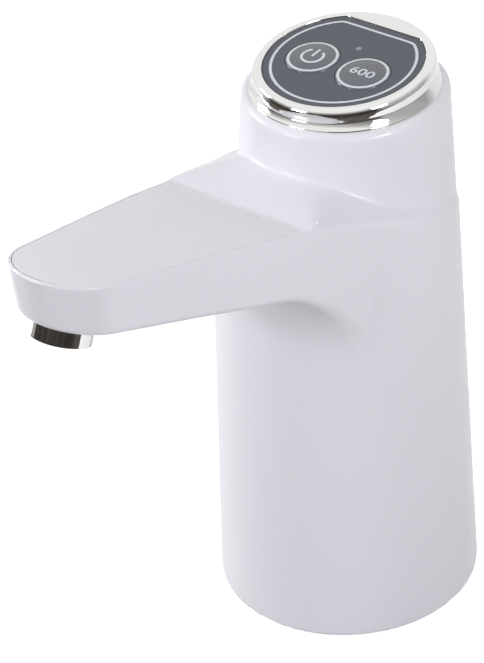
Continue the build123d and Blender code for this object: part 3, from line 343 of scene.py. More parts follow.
def loops_piece(name, loops, material, body="housing", close_first=False, close_last=False,
                smooth_angle=35.0):
    """Skin over closed loops, with optional caps."""
    count = len(loops[0])
    points = [p for loop in loops for p in loop]
    faces = loop_faces(len(loops), count)
    if close_first:
        faces.append(tuple(range(count - 1, -1, -1)))
    if close_last:
        last = (len(loops) - 1) * count
        faces.append(tuple(range(last, last + count)))
    return mesh_piece(name, points, faces, material, body, smooth_angle)


# Materials

def new_material(name):
    """Empty node material with its shader."""
    material = bpy.data.materials.new(name)
    material.use_nodes = True
    nodes = material.node_tree.nodes
    shader = nodes["Principled BSDF"]
    return material, material.node_tree, shader


def noise(tree, scale, detail=2.0, rough=0.5):
    """Noise in object space."""
    place = tree.nodes.new("ShaderNodeTexCoord")
    texture = tree.nodes.new("ShaderNodeTexNoise")
    texture.inputs["Scale"].default_value = scale
    texture.inputs["Detail"].default_value = detail
    texture.inputs["Roughness"].default_value = rough
    tree.links.new(place.outputs["Object"], texture.inputs["Vector"])
    return texture


def vary(tree, texture, low, high, socket):
    """Drive a number socket from a texture between two values."""
    spread = tree.nodes.new("ShaderNodeMapRange")
    spread.interpolation_type = "SMOOTHERSTEP"
    spread.inputs["From Min"].default_value = MARK_LOW
    spread.inputs["From Max"].default_value = MARK_HIGH
    spread.inputs["To Min"].default_value = low
    spread.inputs["To Max"].default_value = high
    tree.links.new(texture.outputs["Fac"], spread.inputs["Value"])
    tree.links.new(spread.outputs["Result"], socket)


def tint(tree, texture, dark, light, socket):
    """Drive a colour socket from a texture between two colours."""
    ramp = tree.nodes.new("ShaderNodeValToRGB")
    ramp.color_ramp.interpolation = "EASE"
    ramp.color_ramp.elements[0].position = MARK_LOW
    ramp.color_ramp.elements[0].color = (*dark, 1.0)
    ramp.color_ramp.elements[1].position = MARK_HIGH
    ramp.color_ramp.elements[1].color = (*light, 1.0)
    tree.links.new(texture.outputs["Fac"], ramp.inputs["Fac"])
    tree.links.new(ramp.outputs["Color"], socket)


def bump(tree, texture, strength, distance, shader):
    """Fine relief from a texture."""
    relief = tree.nodes.new("ShaderNodeBump")
    relief.inputs["Strength"].default_value = strength
    relief.inputs["Distance"].default_value = distance
    tree.links.new(texture.outputs["Fac"], relief.inputs["Height"])
    tree.links.new(relief.outputs["Normal"], shader.inputs["Normal"])


def colour_marks(tree, texture, colour, shift, shader):
    """Faint darker marks in a colour."""
    dark = tuple(c * (1.0 - shift) for c in colour)
    tint(tree, texture, dark, colour, shader.inputs["Base Color"])


def gloss_marks(tree, scale, rough, spread, shader):
    """Faint change of gloss over a surface."""
    low, high = rough * (1.0 - spread), rough * (1.0 + spread)
    vary(tree, noise(tree, scale), low, high, shader.inputs["Roughness"])


def plastic(name, colour, rough, grain=0.04, grain_scale=900.0, coat=0.0, shift=0.03, gloss=0.5):
    """Moulded plastic: faint flow marks in colour and gloss, fine grain."""
    material, tree, shader = new_material(name)
    colour_marks(tree, noise(tree, 22.0, 3.0), colour, shift, shader)
    gloss_marks(tree, 60.0, rough, 0.15, shader)
    bump(tree, noise(tree, grain_scale, 2.0), grain, PLASTIC_GRAIN, shader)
    shader.inputs["Specular IOR Level"].default_value = gloss
    shader.inputs["Coat Weight"].default_value = coat
    shader.inputs["Coat Roughness"].default_value = COAT_ROUGHNESS
    return material


def metal(name, colour, rough, grain=0.03, grain_scale=500.0):
    """Metal with a faint change of gloss and fine relief."""
    material, tree, shader = new_material(name)
    shader.inputs["Metallic"].default_value = 1.0
    colour_marks(tree, noise(tree, 30.0), colour, 0.04, shader)
    gloss_marks(tree, 80.0, rough, 0.2, shader)
    bump(tree, noise(tree, grain_scale), grain, METAL_GRAIN, shader)
    return material


def soft(name, colour, rough, clear=0.0):
    """Rubber or silicone with a matt skin."""
    material, tree, shader = new_material(name)
    colour_marks(tree, noise(tree, 45.0, 4.0), colour, 0.1, shader)
    gloss_marks(tree, 120.0, rough, 0.1, shader)
    bump(tree, noise(tree, 1400.0, 3.0), 0.08, SOFT_GRAIN, shader)
    shader.inputs["Transmission Weight"].default_value = clear
    return material


def clear_plastic(name, colour, clear=0.8):
    """Clear moulded plastic."""
    material, tree, shader = new_material(name)
    colour_marks(tree, noise(tree, 200.0), colour, 0.05, shader)
    vary(tree, noise(tree, 300.0), 0.05, 0.12, shader.inputs["Roughness"])
    shader.inputs["Transmission Weight"].default_value = clear
    return material


body_white = plastic("body_white", (0.80, 0.785, 0.84), 0.34, coat=0.3, shift=0.012, gloss=0.25)
cover_white = plastic("cover_white", (0.815, 0.805, 0.84), 0.36, shift=0.004, gloss=0.3)
chrome = metal("chrome_plating", (0.82, 0.82, 0.805), 0.04, grain=0.01)
panel_dark = plastic("panel_slate", (0.070, 0.077, 0.098), 0.34, grain=0.05, grain_scale=1500.0)
key_dark = plastic("key_slate", (0.088, 0.097, 0.122), 0.22, grain_scale=1500.0, coat=0.7)
print_pale = plastic("print_pale", (0.72, 0.74, 0.79), 0.35, grain=0.05, grain_scale=2500.0)
inner_white = plastic("inner_white", (0.80, 0.80, 0.78), 0.50, grain=0.12)
inner_black = plastic("inner_black", (0.03, 0.03, 0.033), 0.45, grain=0.12)
board_green = plastic("board_lacquer", (0.02, 0.16, 0.07), 0.35, coat=0.4)
cell_blue = plastic("cell_film", (0.05, 0.13, 0.42), 0.28)
wire_red = plastic("wire_red", (0.55, 0.04, 0.03), 0.4)
soft_grey = soft("soft_grey", (0.20, 0.21, 0.22), 0.65)
soft_clear = soft("soft_clear", (0.80, 0.82, 0.82), 0.35, clear=0.5)
lens_pale = clear_plastic("lens_pale", (0.42, 0.45, 0.52), 0.35)
lens_clear = clear_plastic("lens_clear", (0.85, 0.88, 0.92))
steel = metal("zinc_steel", (0.62, 0.62, 0.64), 0.32, grain=0.1)
bright_steel = metal("bright_steel", (0.72, 0.72, 0.74), 0.18)
magnet_grey = metal("magnet_grey", (0.16, 0.16, 0.17), 0.55, grain=0.2)
copper = metal("copper", (0.76, 0.42, 0.22), 0.3, grain=0.1)
nickel = metal("nickel", (0.72, 0.70, 0.66), 0.25)

cad_materials = {
    "panel_carrier": inner_black, "power_plunger": inner_black, "amount_plunger": inner_black,
    "key_switches": nickel, "control_board": board_green, "board_screws": steel,
    "board_parts": inner_black, "status_led": lens_clear, "status_lens": lens_clear,
    "neck_sleeve": inner_white, "neck_gasket": soft_grey, "base_rim": soft_grey,
    "base_screws": steel, "inlet_barb": inner_white, "inlet_nut": inner_white,
    "chassis": inner_white, "chassis_screws": steel, "pump_head": inner_black,
    "valve_plate": inner_white, "valve_flaps": soft_clear, "diaphragm": soft_grey,
    "crank_case": inner_black, "pump_screws": steel, "eccentric_hub": inner_white,
    "crank_pin": bright_steel, "wobble_plate": inner_white, "motor_case": steel,
    "motor_end_cap": inner_black, "motor_terminals": copper, "motor_magnets": magnet_grey,
    "motor_shaft": bright_steel, "motor_rotor": copper, "battery_cell": steel,
    "battery_wrap": cell_blue, "battery_tabs": nickel, "charge_board": board_green,
    "charge_screws": steel, "charge_socket": nickel, "inlet_hose": soft_clear,
    "outlet_hose": soft_clear, "hose_clips": bright_steel, "spout_elbow": inner_white,
    "nozzle_insert": inner_white, "motor_leads": wire_red, "battery_leads": wire_red,
}
for node, material in cad_materials.items():
    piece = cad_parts[node]
    piece.data.materials.clear()
    piece.data.materials.append(material)


# Signed distances to the white body, negative inside, on arrays of places in millimetres

def rounded_join(a, b, radius):
    """Join of two shapes with a concave arc in their corner."""
    u = np.maximum(radius - a, 0.0)
    v = np.maximum(radius - b, 0.0)
    return np.maximum(radius, np.minimum(a, b)) - np.sqrt(u * u + v * v)


def rounded_cut(a, b, radius):
    """Overlap of two shapes with a convex arc on their edge."""
    u = np.maximum(a + radius, 0.0)
    v = np.maximum(b + radius, 0.0)
    return np.minimum(-radius, np.maximum(a, b)) + np.sqrt(u * u + v * v)


def arm_outline_distance(along, across):
    """Distance to the arm's plan in its sloping plane."""
    side = np.abs(across)
    lean_sin, lean_cos = math.sin(ARM_TAPER), math.cos(ARM_TAPER)
    line = TIP_RADIUS + TIP_REACH * lean_sin
    rise = line + ARM_BLEND + rim_back * lean_sin
    run = math.sqrt((rim_radius + ARM_BLEND) ** 2 - rise ** 2)
    blend_x = -rim_back + lean_sin * rise + lean_cos * run
    blend_y = lean_cos * rise - lean_sin * run
    to_tip = (along - TIP_REACH) * lean_cos - side * lean_sin
    to_blend = (along - blend_x) * lean_cos - (side - blend_y) * lean_sin
    tip = np.hypot(along - TIP_REACH, side) - TIP_RADIUS
    straight = (along - TIP_REACH) * lean_sin + side * lean_cos - TIP_RADIUS
    blend = ARM_BLEND - np.hypot(along - blend_x, side - blend_y)
    rim = np.hypot(along + rim_back, side) - rim_radius
    before_blend = (-rim_back - blend_x) * (side - blend_y) - (0.0 - blend_y) * (along - blend_x)
    root = np.where(before_blend < 0.0, rim, blend)
    return np.where(to_tip > 0.0, tip, np.where(to_blend > 0.0, straight, root))


def ledge_rise(along, across):
    """Height of the ledge over the arm's top: nearly level at the column, falling to the rim."""
    level = LEDGE_TILT * np.maximum(COVER_START - LEDGE_LAND - along, 0.0)
    side = LEDGE_SIDE_TILT * np.maximum(-arm_outline_distance(along, across), 0.0)
    return level * side / (level ** 4 + side ** 4 + LEDGE_LEAST) ** 0.25


def body_distance(x, y, z):
    """Distance to the outer shape of the white body."""
    along = -slope_cos * y + slope_sin * (z - RIM_HEIGHT)
    up = slope_sin * y + slope_cos * (z - RIM_HEIGHT)
    taper = (BASE_RADIUS - SKIRT_TOP_RADIUS) / SKIRT_HEIGHT
    low = np.hypot(x, y - SKIRT_LEAN / SKIRT_HEIGHT * z) - (BASE_RADIUS - taper * z)
    taper = (BASE_RADIUS - COLUMN_TOP_RADIUS) / COLUMN_HEIGHT
    column = np.hypot(x, y - COLUMN_LEAN / COLUMN_HEIGHT * z) - (BASE_RADIUS - taper * z)
    tip_y = -slope_cos * TIP_REACH - slope_sin * TIP_DEPTH
    tip_z = RIM_HEIGHT + slope_sin * TIP_REACH - slope_cos * TIP_DEPTH
    under_z = tip_z - (-tip_y + y) * math.tan(UNDER_SLOPE)
    under = (under_z - z) * math.cos(UNDER_SLOPE)
    beam = rounded_join(under, low, UNDER_ARC)
    drop = RIM_HEIGHT - y * math.tan(ARM_SLOPE) - z
    draft = ROOT_DRAFT + (ARM_DRAFT - ROOT_DRAFT) * smooth_step(along, DRAFT_FROM, DRAFT_TO)
    side = arm_outline_distance(-y / slope_cos, x) + drop * np.tan(draft)
    arm = rounded_cut(side, beam, UNDER_ROUND)
    lower = rounded_join(low, arm, BLEND_ROUND)
    hard = smooth_step(along, SOFT_RIM_FROM, SOFT_RIM_TO)
    rim_round = SOFT_RIM_ROUND + (RIM_ROUND - SOFT_RIM_ROUND) * hard
    lower = rounded_cut(lower, up - top_rise(along) - ledge_rise(along, x), rim_round)
    column = rounded_cut(column, z - COLUMN_HEIGHT, SHOULDER_ROUND)
    ledge = np.clip(LEDGE_SHARE * (column - low), BLEND_LEAST, LEDGE_ROUND)
    whole = rounded_join(lower, column, ledge)
    return rounded_cut(whole, BASE_GAP - z, FOOT_ROUND)


def gradient(function, places, step=SLOPE_STEP):
    """Slope of a distance at places."""
    slopes = np.empty_like(places)
    for axis in range(3):
        ahead, behind = places.copy(), places.copy()
        ahead[:, axis] += step
        behind[:, axis] -= step
        slopes[:, axis] = (function(*ahead.T) - function(*behind.T)) / (2.0 * step)
    return slopes


def settle(function, places, rounds):
    """Move places onto the surface where the distance is zero."""
    for _ in range(rounds):
        slopes = gradient(function, places)
        steep = np.maximum((slopes * slopes).sum(axis=1), SLOPE_LEAST)
        move = np.clip(function(*places.T) / steep, -SETTLE_LONGEST, SETTLE_LONGEST)
        places = places - slopes * move[:, None]
    return places


def skin_of(function, low, high, spacing):
    """Quad skin of the zero surface of a distance: places and faces."""
    axes = [np.arange(low[i], high[i] + spacing, spacing) for i in range(3)]
    field = np.empty([len(a) for a in axes], dtype=np.float32)
    for i, x in enumerate(axes[0]):
        field[i] = function(x, axes[1][:, None], axes[2][None, :])
    inside = field < 0.0
    mixed = np.zeros([n - 1 for n in field.shape], dtype=bool)
    first = inside[:-1, :-1, :-1]
    for i in (0, 1):
        for j in (0, 1):
            for k in (0, 1):
                shape = mixed.shape
                mixed |= inside[i:i + shape[0], j:j + shape[1], k:k + shape[2]] != first
    number = np.full(mixed.shape, -1, dtype=np.int64)
    number[mixed] = np.arange(int(mixed.sum()))
    cells = np.argwhere(mixed)
    places = np.asarray(low) + (cells + 0.5) * spacing
    faces = []
    for axis in range(3):
        b, c = (axis + 1) % 3, (axis + 2) % 3
        turned = np.moveaxis(inside, (axis, b, c), (0, 1, 2))
        numbers = np.moveaxis(number, (axis, b, c), (0, 1, 2))
        here, there = turned[:-1, 1:-1, 1:-1], turned[1:, 1:-1, 1:-1]
        for leaving in (True, False):
            i, j, k = np.nonzero(here & ~there if leaving else ~here & there)
            quad = [numbers[i, j, k], numbers[i, j + 1, k],
                    numbers[i, j + 1, k + 1], numbers[i, j, k + 1]]
            faces.append(np.stack(quad if leaving else quad[::-1], axis=1))
    return places, np.concatenate(faces)


def relax(function, places, faces, rounds):
    """Even out the skin while it stays on the surface."""
    starts = faces.ravel()
    ends = np.roll(faces, -1, axis=1).ravel()
    both_a, both_b = np.concatenate([starts, ends]), np.concatenate([ends, starts])
    count = np.maximum(np.bincount(both_a, minlength=len(places)), 1)[:, None]
    for _ in range(rounds):
        total = np.stack([
            np.bincount(both_a, weights=places[both_b, i], minlength=len(places))
            for i in range(3)], 1)
        places = settle(function, 0.5 * places + 0.5 * total / count, 1)
    return settle(function, places, 2)


def skin_piece(name, places, faces, normals, material):
    """Skin as a piece with exact normals."""
    mesh = bpy.data.meshes.new(name)
    mesh.from_pydata((places * MM).tolist(), [], faces.tolist())
    mesh.polygons.foreach_set("use_smooth", [True] * len(mesh.polygons))
    mesh.normals_split_custom_set_from_vertices(normals.tolist())
    mesh.materials.append(material)
    piece = bpy.data.objects.new(name, mesh)
    bpy.context.scene.collection.objects.link(piece)
    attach(piece, "housing")
    return piece


def used_only(places, faces):
    """Drop the places that no face uses."""
    used, inverse = np.unique(faces, return_inverse=True)
    return places[used], inverse.reshape(faces.shape)


def arm_places(x, y, z):
    """Places along, across and over the arm's top."""
    rise = z - RIM_HEIGHT
    along = -slope_cos * y + slope_sin * rise
    return along, x, slope_sin * y + slope_cos * rise - top_rise(along)


def make_body():
    """White body: one skin for column, ledge and arm, open at ring, cover, base and port."""
    spacing = SKIN_SPACING
    reach = BASE_RADIUS + SKIN_MARGIN
    low = (-reach, -TIP_REACH - 2.0 * TIP_RADIUS, -SKIN_MARGIN)
    high = (reach, reach, RIM_HEIGHT + 2.0 * TIP_RADIUS + SKIN_MARGIN)
    places, faces = skin_of(body_distance, low, high, spacing)
    places = settle(body_distance, places, SKIN_ROUNDS)
    places = relax(body_distance, places, faces, SKIN_ROUNDS)
    x, y, z = places[faces].mean(axis=1).T
    along, across, up = arm_places(x, y, z)
    lid = arm_outline_distance(along, across) + COVER_RIM < LID_MARGIN
    under_lid = lid & (along > COVER_START - LID_END_MARGIN) & (np.abs(up) < LID_DEPTH)
    ring_hole = (z > COLUMN_HEIGHT - RING_HOLE_DEPTH) & (
        np.hypot(x, y - COLUMN_LEAN) < SEAT_RADIUS - RING_HOLE_INSET)
    foot_hole = (z < BASE_GAP + FOOT_HOLE_RISE) & (np.hypot(x, y) < BASE_RADIUS - FOOT_HOLE_INSET)
    port = (y > 0.0) & (np.abs(x) < PORT_WIDTH / 2.0) & (np.abs(z - PORT_HEIGHT) < PORT_DEPTH / 2.0)
    faces = faces[~(under_lid | ring_hole | foot_hole | port)]
    places, faces = used_only(places, faces)
    normals = gradient(body_distance, places)
    normals /= np.linalg.norm(normals, axis=1)[:, None]
    return skin_piece("body_skin", places, faces, normals, body_white)


body_skin = make_body()
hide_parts("main_body")


# Arm cover and the rim around it

def quarter_turn(steps=ROUND_STEPS):
    """Evenly spaced angles of a quarter turn, both ends included."""
    return [math.pi / 2.0 * i / steps for i in range(steps + 1)]


def blend_centre():
    """Centre of the large arc that leads the arm's side into the column."""
    lean_sin, lean_cos = math.sin(ARM_TAPER), math.cos(ARM_TAPER)
    rise = TIP_RADIUS + TIP_REACH * lean_sin + ARM_BLEND + rim_back * lean_sin
    run = math.sqrt((rim_radius + ARM_BLEND) ** 2 - rise ** 2)
    return -rim_back + lean_sin * rise + lean_cos * run, lean_cos * rise - lean_sin * run


def arm_half_width(along, inset):
    """Half width of the arm's plan, drawn in by an inset, before the tip."""
    centre_along, centre_side = blend_centre()
    radius = ARM_BLEND + inset
    turn_at = centre_along - radius * math.sin(ARM_TAPER)
    if along < turn_at:
        return centre_side - math.sqrt(radius ** 2 - (along - centre_along) ** 2)
    return (TIP_RADIUS - inset - (along - TIP_REACH) * math.sin(ARM_TAPER)) / math.cos(ARM_TAPER)


def arm_run(start, inset, side_steps=36, tip_steps=56):
    """Open run around the arm's plan from one side of the start line to the other."""
    tip = TIP_RADIUS - inset
    end = TIP_REACH + tip * math.sin(ARM_TAPER)
    side = []
    for i in range(side_steps):
        along = start + (end - start) * i / side_steps
        side.append((along, arm_half_width(along, inset)))
    arc = []
    quarter = math.pi / 2.0 - ARM_TAPER
    for i in range(tip_steps + 1):
        angle = quarter - 2.0 * quarter * i / tip_steps
        arc.append((TIP_REACH + tip * math.cos(angle), tip * math.sin(angle)))
    return side + arc + [(along, -across) for along, across in reversed(side)]


def cover_place(along, across, up):
    """World place on the cover, which sits a little back and aside at the tip."""
    share = min(max((along - TIP_REACH) / TIP_RADIUS, 0.0), 1.0)
    return arm_to_world(along - COVER_SHORT * share, across - COVER_ASIDE * share, up)


def arm_loop(start, inset, up, place=arm_to_world):
    """Closed loop around the cover's plan at one level."""
    return [place(along, across, up) for along, across in arm_run(start, inset)]


def cover_crown(along, across, start, inset):
    """Height of the cover's crown over its edge."""
    depth = -float(arm_outline_distance(along, across)) - inset
    share = min(max(depth / COVER_CROWN_REACH, 0.0), 1.0)
    lengthwise = float(smooth_step(along, start, start + COVER_CROWN_RUN))
    return COVER_CROWN * math.sin(math.pi / 2.0 * share) * lengthwise


def make_cover():
    """Cover plate with rounded edges and a crowned top, over a skirt that goes into the arm."""
    start, inset = COVER_START + COVER_END_GAP, COVER_RIM + COVER_GAP
    loops = [arm_loop(start, inset, -COVER_THICKNESS, cover_place)]
    for angle in quarter_turn():
        pull = 1.0 - math.cos(angle)
        up = COVER_ROUND * (math.sin(angle) - 1.0) + PROUD
        loops.append(arm_loop(
            start + COVER_END_ROUND * pull, inset + COVER_ROUND * pull, up, cover_place))
    count = len(loops[0])
    points = [p for loop in loops for p in loop]
    faces = [tuple(range(count - 1, -1, -1))] + loop_faces(len(loops), count)
    start, inset = start + COVER_END_ROUND, inset + COVER_ROUND
    edge = len(points) - count
    rows = []
    for i, (along, across) in enumerate(arm_run(start, inset)[:count // 2]):
        row = [edge + i]
        for j in range(1, COVER_COLUMNS):
            side = across * (1.0 - 2.0 * j / COVER_COLUMNS)
            row.append(len(points))
            points.append(cover_place(along, side, PROUD + cover_crown(along, side, start, inset)))
        rows.append(row + [edge + count - 1 - i])
    for a, b in zip(rows, rows[1:]):
        faces += [(a[j], a[j + 1], b[j + 1], b[j]) for j in range(COVER_COLUMNS)]
    faces += [(rows[-1][j], rows[-1][j + 1], edge + count // 2) for j in range(COVER_COLUMNS)]
    return mesh_piece("arm_cover_plate", points, faces, cover_white)


def make_rim_strip():
    """Land and rounded inner edge of the arm's rim beside the cover."""
    start, inset = COVER_START - RIM_STRIP_END, COVER_RIM - RIM_STRIP
    loops = [arm_loop(start, inset, RIM_STRIP_LOW), arm_loop(start, inset, PROUD)]
    for angle in quarter_turn():
        back, drop = 1.0 - math.sin(angle), 1.0 - math.cos(angle)
        loops.append(arm_loop(
            COVER_START - RIM_EDGE_END * back, COVER_RIM - RIM_EDGE * back,
            PROUD - RIM_EDGE_END * drop))
    loops.append(arm_loop(COVER_START, COVER_RIM, -COVER_THICKNESS - RIM_STRIP_BELOW_COVER))
    return loops_piece("arm_rim_land", loops, body_white, smooth_angle=50.0)


def make_cover_floor():
    """Shelf that the cover sits on, deep at the tip and shallow along the sides."""
    loops = []
    for reach in SHELF_REACH:
        run = []
        for along, across in arm_run(COVER_START + reach, COVER_RIM + reach):
            share = min(max((along - GAP_DEEP_FROM) / (GAP_DEEP_TO - GAP_DEEP_FROM), 0.0), 1.0)
            drop = GAP_SHALLOW + (COVER_THICKNESS - GAP_SHALLOW) * share
            run.append(arm_to_world(along, across, -drop))
        loops.append(run)
    return loops_piece("arm_gap_shelf", loops, body_white)


cover_plate = make_cover()
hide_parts("arm_cover")
make_rim_strip()
make_cover_floor()


# Plated ring, panel and keys

TURN_STEPS = 192


def turn_angles(steps=TURN_STEPS):
    """Evenly spaced angles of a full turn."""
    return [2.0 * math.pi * i / steps for i in range(steps)]


def flat_reach(angle, radius, flat, corner=PANEL_CORNER):
    """Reach of a disc with one flat side at the back, its two corners rounded."""
    straight = flat / max(math.sin(angle), FLAT_LEAST_SINE)
    gap = max(corner - abs(straight - radius), 0.0)
    return min(straight, radius) - gap * gap / (4.0 * corner)


def panel_loop(radius, up, flat=None):
    """Loop on the sloping panel, round or with its flat side."""
    places = []
    for angle in turn_angles():
        reach = radius if flat is None else flat_reach(angle, radius, flat)
        places.append(panel_to_world(reach * math.cos(angle), reach * math.sin(angle), up))
    return places


def level_loop(radius, z):
    """Level loop around the column's top."""
    return [(radius * math.cos(a), COLUMN_LEAN + radius * math.sin(a), z) for a in turn_angles()]


def between(low, high, share):
    """Loop between two loops."""
    return [tuple(p + (q - p) * share for p, q in zip(a, b)) for a, b in zip(low, high)]


def make_ring():
    """Plated ring: seat on the column, flared flange, upright wall and rounded lip."""
    seat = level_loop(SEAT_RADIUS, COLUMN_HEIGHT + SEAT_EDGE)
    neck = panel_loop(LIP_RADIUS, -LIP_DEPTH)
    wall = panel_loop(LIP_RADIUS, LIP_RISE - LIP_ROUND_TALL)
    loops = [level_loop(SEAT_RADIUS - inset, COLUMN_HEIGHT + up) for inset, up in RING_FOOT]
    for share in FLANGE_SHARES:
        bend = FLANGE_SAG * math.sin(math.pi * share)
        loops.append([(x, y, z - bend) for x, y, z in between(seat, neck, share)])
    loops += [between(neck, wall, share) for share in RING_WALL_SHARES]
    for angle in quarter_turn(LIP_STEPS):
        radius = LIP_RADIUS - LIP_ROUND * (1.0 - math.cos(angle))
        loops.append(panel_loop(radius, LIP_RISE - LIP_ROUND_TALL * (1.0 - math.sin(angle))))
    for out, up in LIP_INNER:
        loops.append(panel_loop(PANEL_RADIUS + PANEL_GAP + out, up, PANEL_FLAT + PANEL_GAP + out))
    return loops_piece("plated_ring", loops, chrome, smooth_angle=60.0)


ring = make_ring()
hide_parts("chrome_ring")


def disc_loops(centre, rows):
    """Round loops about a place on the panel, one for each radius and level."""
    loops = []
    for radius, up in rows:
        loops.append([
            panel_to_world(centre[0] + radius * math.cos(a), centre[1] + radius * math.sin(a), up)
            for a in turn_angles(96)])
    return loops


key_places = {"power": (-KEY_SPACING, -KEY_FORWARD), "amount": (KEY_SPACING, -KEY_FORWARD)}


def dome_height(radius):
    """Height of a key's face at a distance from its middle."""
    share = min(radius / KEY_RADIUS, 1.0)
    dome = math.cos(math.pi / 2.0 * share) ** DOME_POWER
    return KEY_EDGE_RISE + (KEY_RISE - KEY_EDGE_RISE) * dome


def make_key(name):
    """Key with a domed face, rounded edge and skirt down to its flange."""
    rows = [(KEY_RADIUS, up) for up in (-KEY_FOOT, KEY_EDGE_LOW, KEY_EDGE_RISE - KEY_EDGE_ROUND)]
    for angle in quarter_turn()[1:]:
        radius = KEY_RADIUS - KEY_EDGE_ROUND * (1.0 - math.cos(angle))
        rows.append((radius, dome_height(radius) - KEY_EDGE_ROUND * (1.0 - math.sin(angle))))
    rows += [(KEY_RADIUS * share, dome_height(KEY_RADIUS * share)) for share in KEY_SHARES]
    loops = disc_loops(key_places[name], rows)
    piece = loops_piece(f"{name}_key_face", loops, key_dark, f"{name}_key", close_last=True)
    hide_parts(f"{name}_button")
    return piece


for key in key_places:
    make_key(key)


def applied_mesh(source):
    """Mesh of an object as its modifiers or its curve leave it."""
    bpy.context.view_layer.update()
    graph = bpy.context.evaluated_depsgraph_get()
    return bpy.data.meshes.new_from_object(source.evaluated_get(graph))


def make_panel():
    """Dark overlay: fine rounded edge, flat face with wells for the keys."""
    loops = [panel_loop(PANEL_RADIUS - inset, up, PANEL_FLAT - inset) for inset, up in PANEL_EDGE]
    piece = loops_piece("panel_face", loops, panel_dark, close_first=True, close_last=True)
    wells = [(centre, KEY_RADIUS + KEY_WELL_GAP) for centre in key_places.values()]
    wells.append(((0.0, LED_BACK), LENS_RADIUS + LENS_WELL_GAP))
    for number, (centre, radius) in enumerate(wells):
        well_loops = disc_loops(centre, [(radius, up) for up in CUT_LEVELS])
        cutter = loops_piece(
            f"cutter_{number}", well_loops, panel_dark, close_first=True, close_last=True)
        cut = piece.modifiers.new("cut", "BOOLEAN")
        cut.object = cutter
        cut.solver = "EXACT"
        shaped = applied_mesh(piece)
        shaped.polygons.foreach_set("use_smooth", [False] * len(shaped.polygons))
        piece.modifiers.clear()
        piece.data = shaped
        bpy.data.objects.remove(cutter)
    return piece


panel_face = make_panel()
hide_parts("control_panel")


def make_lens():
    """Small domed lens of the working light."""
    rows = [(LENS_RADIUS, up) for up in LENS_FOOT]
    rows += [(LENS_RADIUS * share, LENS_RISE * (1.0 - share * share)) for share in LENS_SHARES]
    loops = disc_loops((0.0, LED_BACK), rows)
    return loops_piece("status_lens_dome", loops, lens_pale, close_last=True)


lens_dome = make_lens()
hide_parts("status_lens")


# Prints on panel and keys

def print_band(name, inner, outer, place, body):
    """Thin printed band between two closed runs of (x, y), laid on a face."""
    points = [place(*p) for p in inner] + [place(*p) for p in outer]
    count = len(inner)
    faces = [(i, (i + 1) % count, count + (i + 1) % count, count + i) for i in range(count)]
    return mesh_piece(name, points, faces, print_pale, body)


def on_panel(x, y):
    """Place of a print on the panel's face."""
    return panel_to_world(x, y, PRINT_LIFT)


def on_key(name):
    """Function that lays a print on a key's domed face."""
    centre = key_places[name]

    def place(x, y):
        reach = math.hypot(x - centre[0], y - centre[1])
        return panel_to_world(x, y, dome_height(reach) + PRINT_LIFT)
    return place


def circle_run(centre, radius, steps=128):
    """Closed round run of (x, y)."""
    return [
        (centre[0] + radius * math.cos(a), centre[1] + radius * math.sin(a))
        for a in turn_angles(steps)]


def outline_run(radius, flat):
    """Closed run with the flat side at the back."""
    run = []
    for angle in turn_angles():
        reach = flat_reach(angle, radius, flat, OUTLINE_CORNER)
        run.append((reach * math.cos(angle), reach * math.sin(angle)))
    return run


print_half = PRINT_WIDTH / 2.0
print_band(
    "print_outline", outline_run(OUTLINE_RADIUS - print_half, OUTLINE_FLAT - print_half),
    outline_run(OUTLINE_RADIUS + print_half, OUTLINE_FLAT + print_half), on_panel, "housing")
for key, centre in key_places.items():
    print_band(
        f"print_{key}_ring", circle_run(centre, KEY_RING_RADIUS - print_half),
        circle_run(centre, KEY_RING_RADIUS + print_half), on_key(key), f"{key}_key")


def make_power_symbol():
    """Standard on and off symbol: an open ring with an upright bar."""
    centre = key_places["power"]
    place = on_key("power")
    points, faces = [], []
    steps = 40
    opening = math.radians(SYMBOL_OPENING / 2.0)
    for i in range(steps + 1):
        angle = math.pi / 2.0 + opening + (2.0 * math.pi - 2.0 * opening) * i / steps
        for radius in (SYMBOL_RADIUS - print_half, SYMBOL_RADIUS + print_half):
            x, y = centre[0] + radius * math.cos(angle), centre[1] + radius * math.sin(angle)
            points.append(place(x, y))
    for i in range(steps):
        faces.append((2 * i, 2 * i + 1, 2 * i + 3, 2 * i + 2))
    first = len(points)
    bar_steps = 6
    for i in range(bar_steps + 1):
        y = centre[1] + SYMBOL_BAR_LOW + (SYMBOL_BAR_HIGH - SYMBOL_BAR_LOW) * i / bar_steps
        for x in (-print_half, print_half):
            points.append(place(centre[0] + x, y))
    for i in range(bar_steps):
        faces.append((first + 2 * i, first + 2 * i + 1, first + 2 * i + 3, first + 2 * i + 2))
    return mesh_piece("print_power_symbol", points, faces, print_pale, "power_key")


make_power_symbol()


def make_amount_number():
    """Plain number on the amount key, laid along its dome."""
    curve = bpy.data.curves.new("number", "FONT")
    curve.body = "600"
    curve.align_x = "CENTER"
    curve.align_y = "CENTER"
    curve.size = 1.0
    curve.offset = NUMBER_WEIGHT
    source = bpy.data.objects.new("number", curve)
    bpy.context.scene.collection.objects.link(source)
    mesh = applied_mesh(source)
    bpy.data.objects.remove(source)
    xs = [v.co.x for v in mesh.vertices]
    ys = [v.co.y for v in mesh.vertices]
    wide, tall = max(xs) - min(xs), max(ys) - min(ys)
    centre = key_places["amount"]
    place = on_key("amount")
    points = []
    for v in mesh.vertices:
        x = centre[0] + (v.co.x - (max(xs) + min(xs)) / 2.0) / wide * NUMBER_WIDTH
        y = centre[1] + (v.co.y - (max(ys) + min(ys)) / 2.0) / tall * NUMBER_HEIGHT
        points.append(place(x, y))
    faces = [tuple(f.vertices) for f in mesh.polygons]
    return mesh_piece("print_amount_number", points, faces, print_pale, "amount_key")


make_amount_number()


# Nozzle

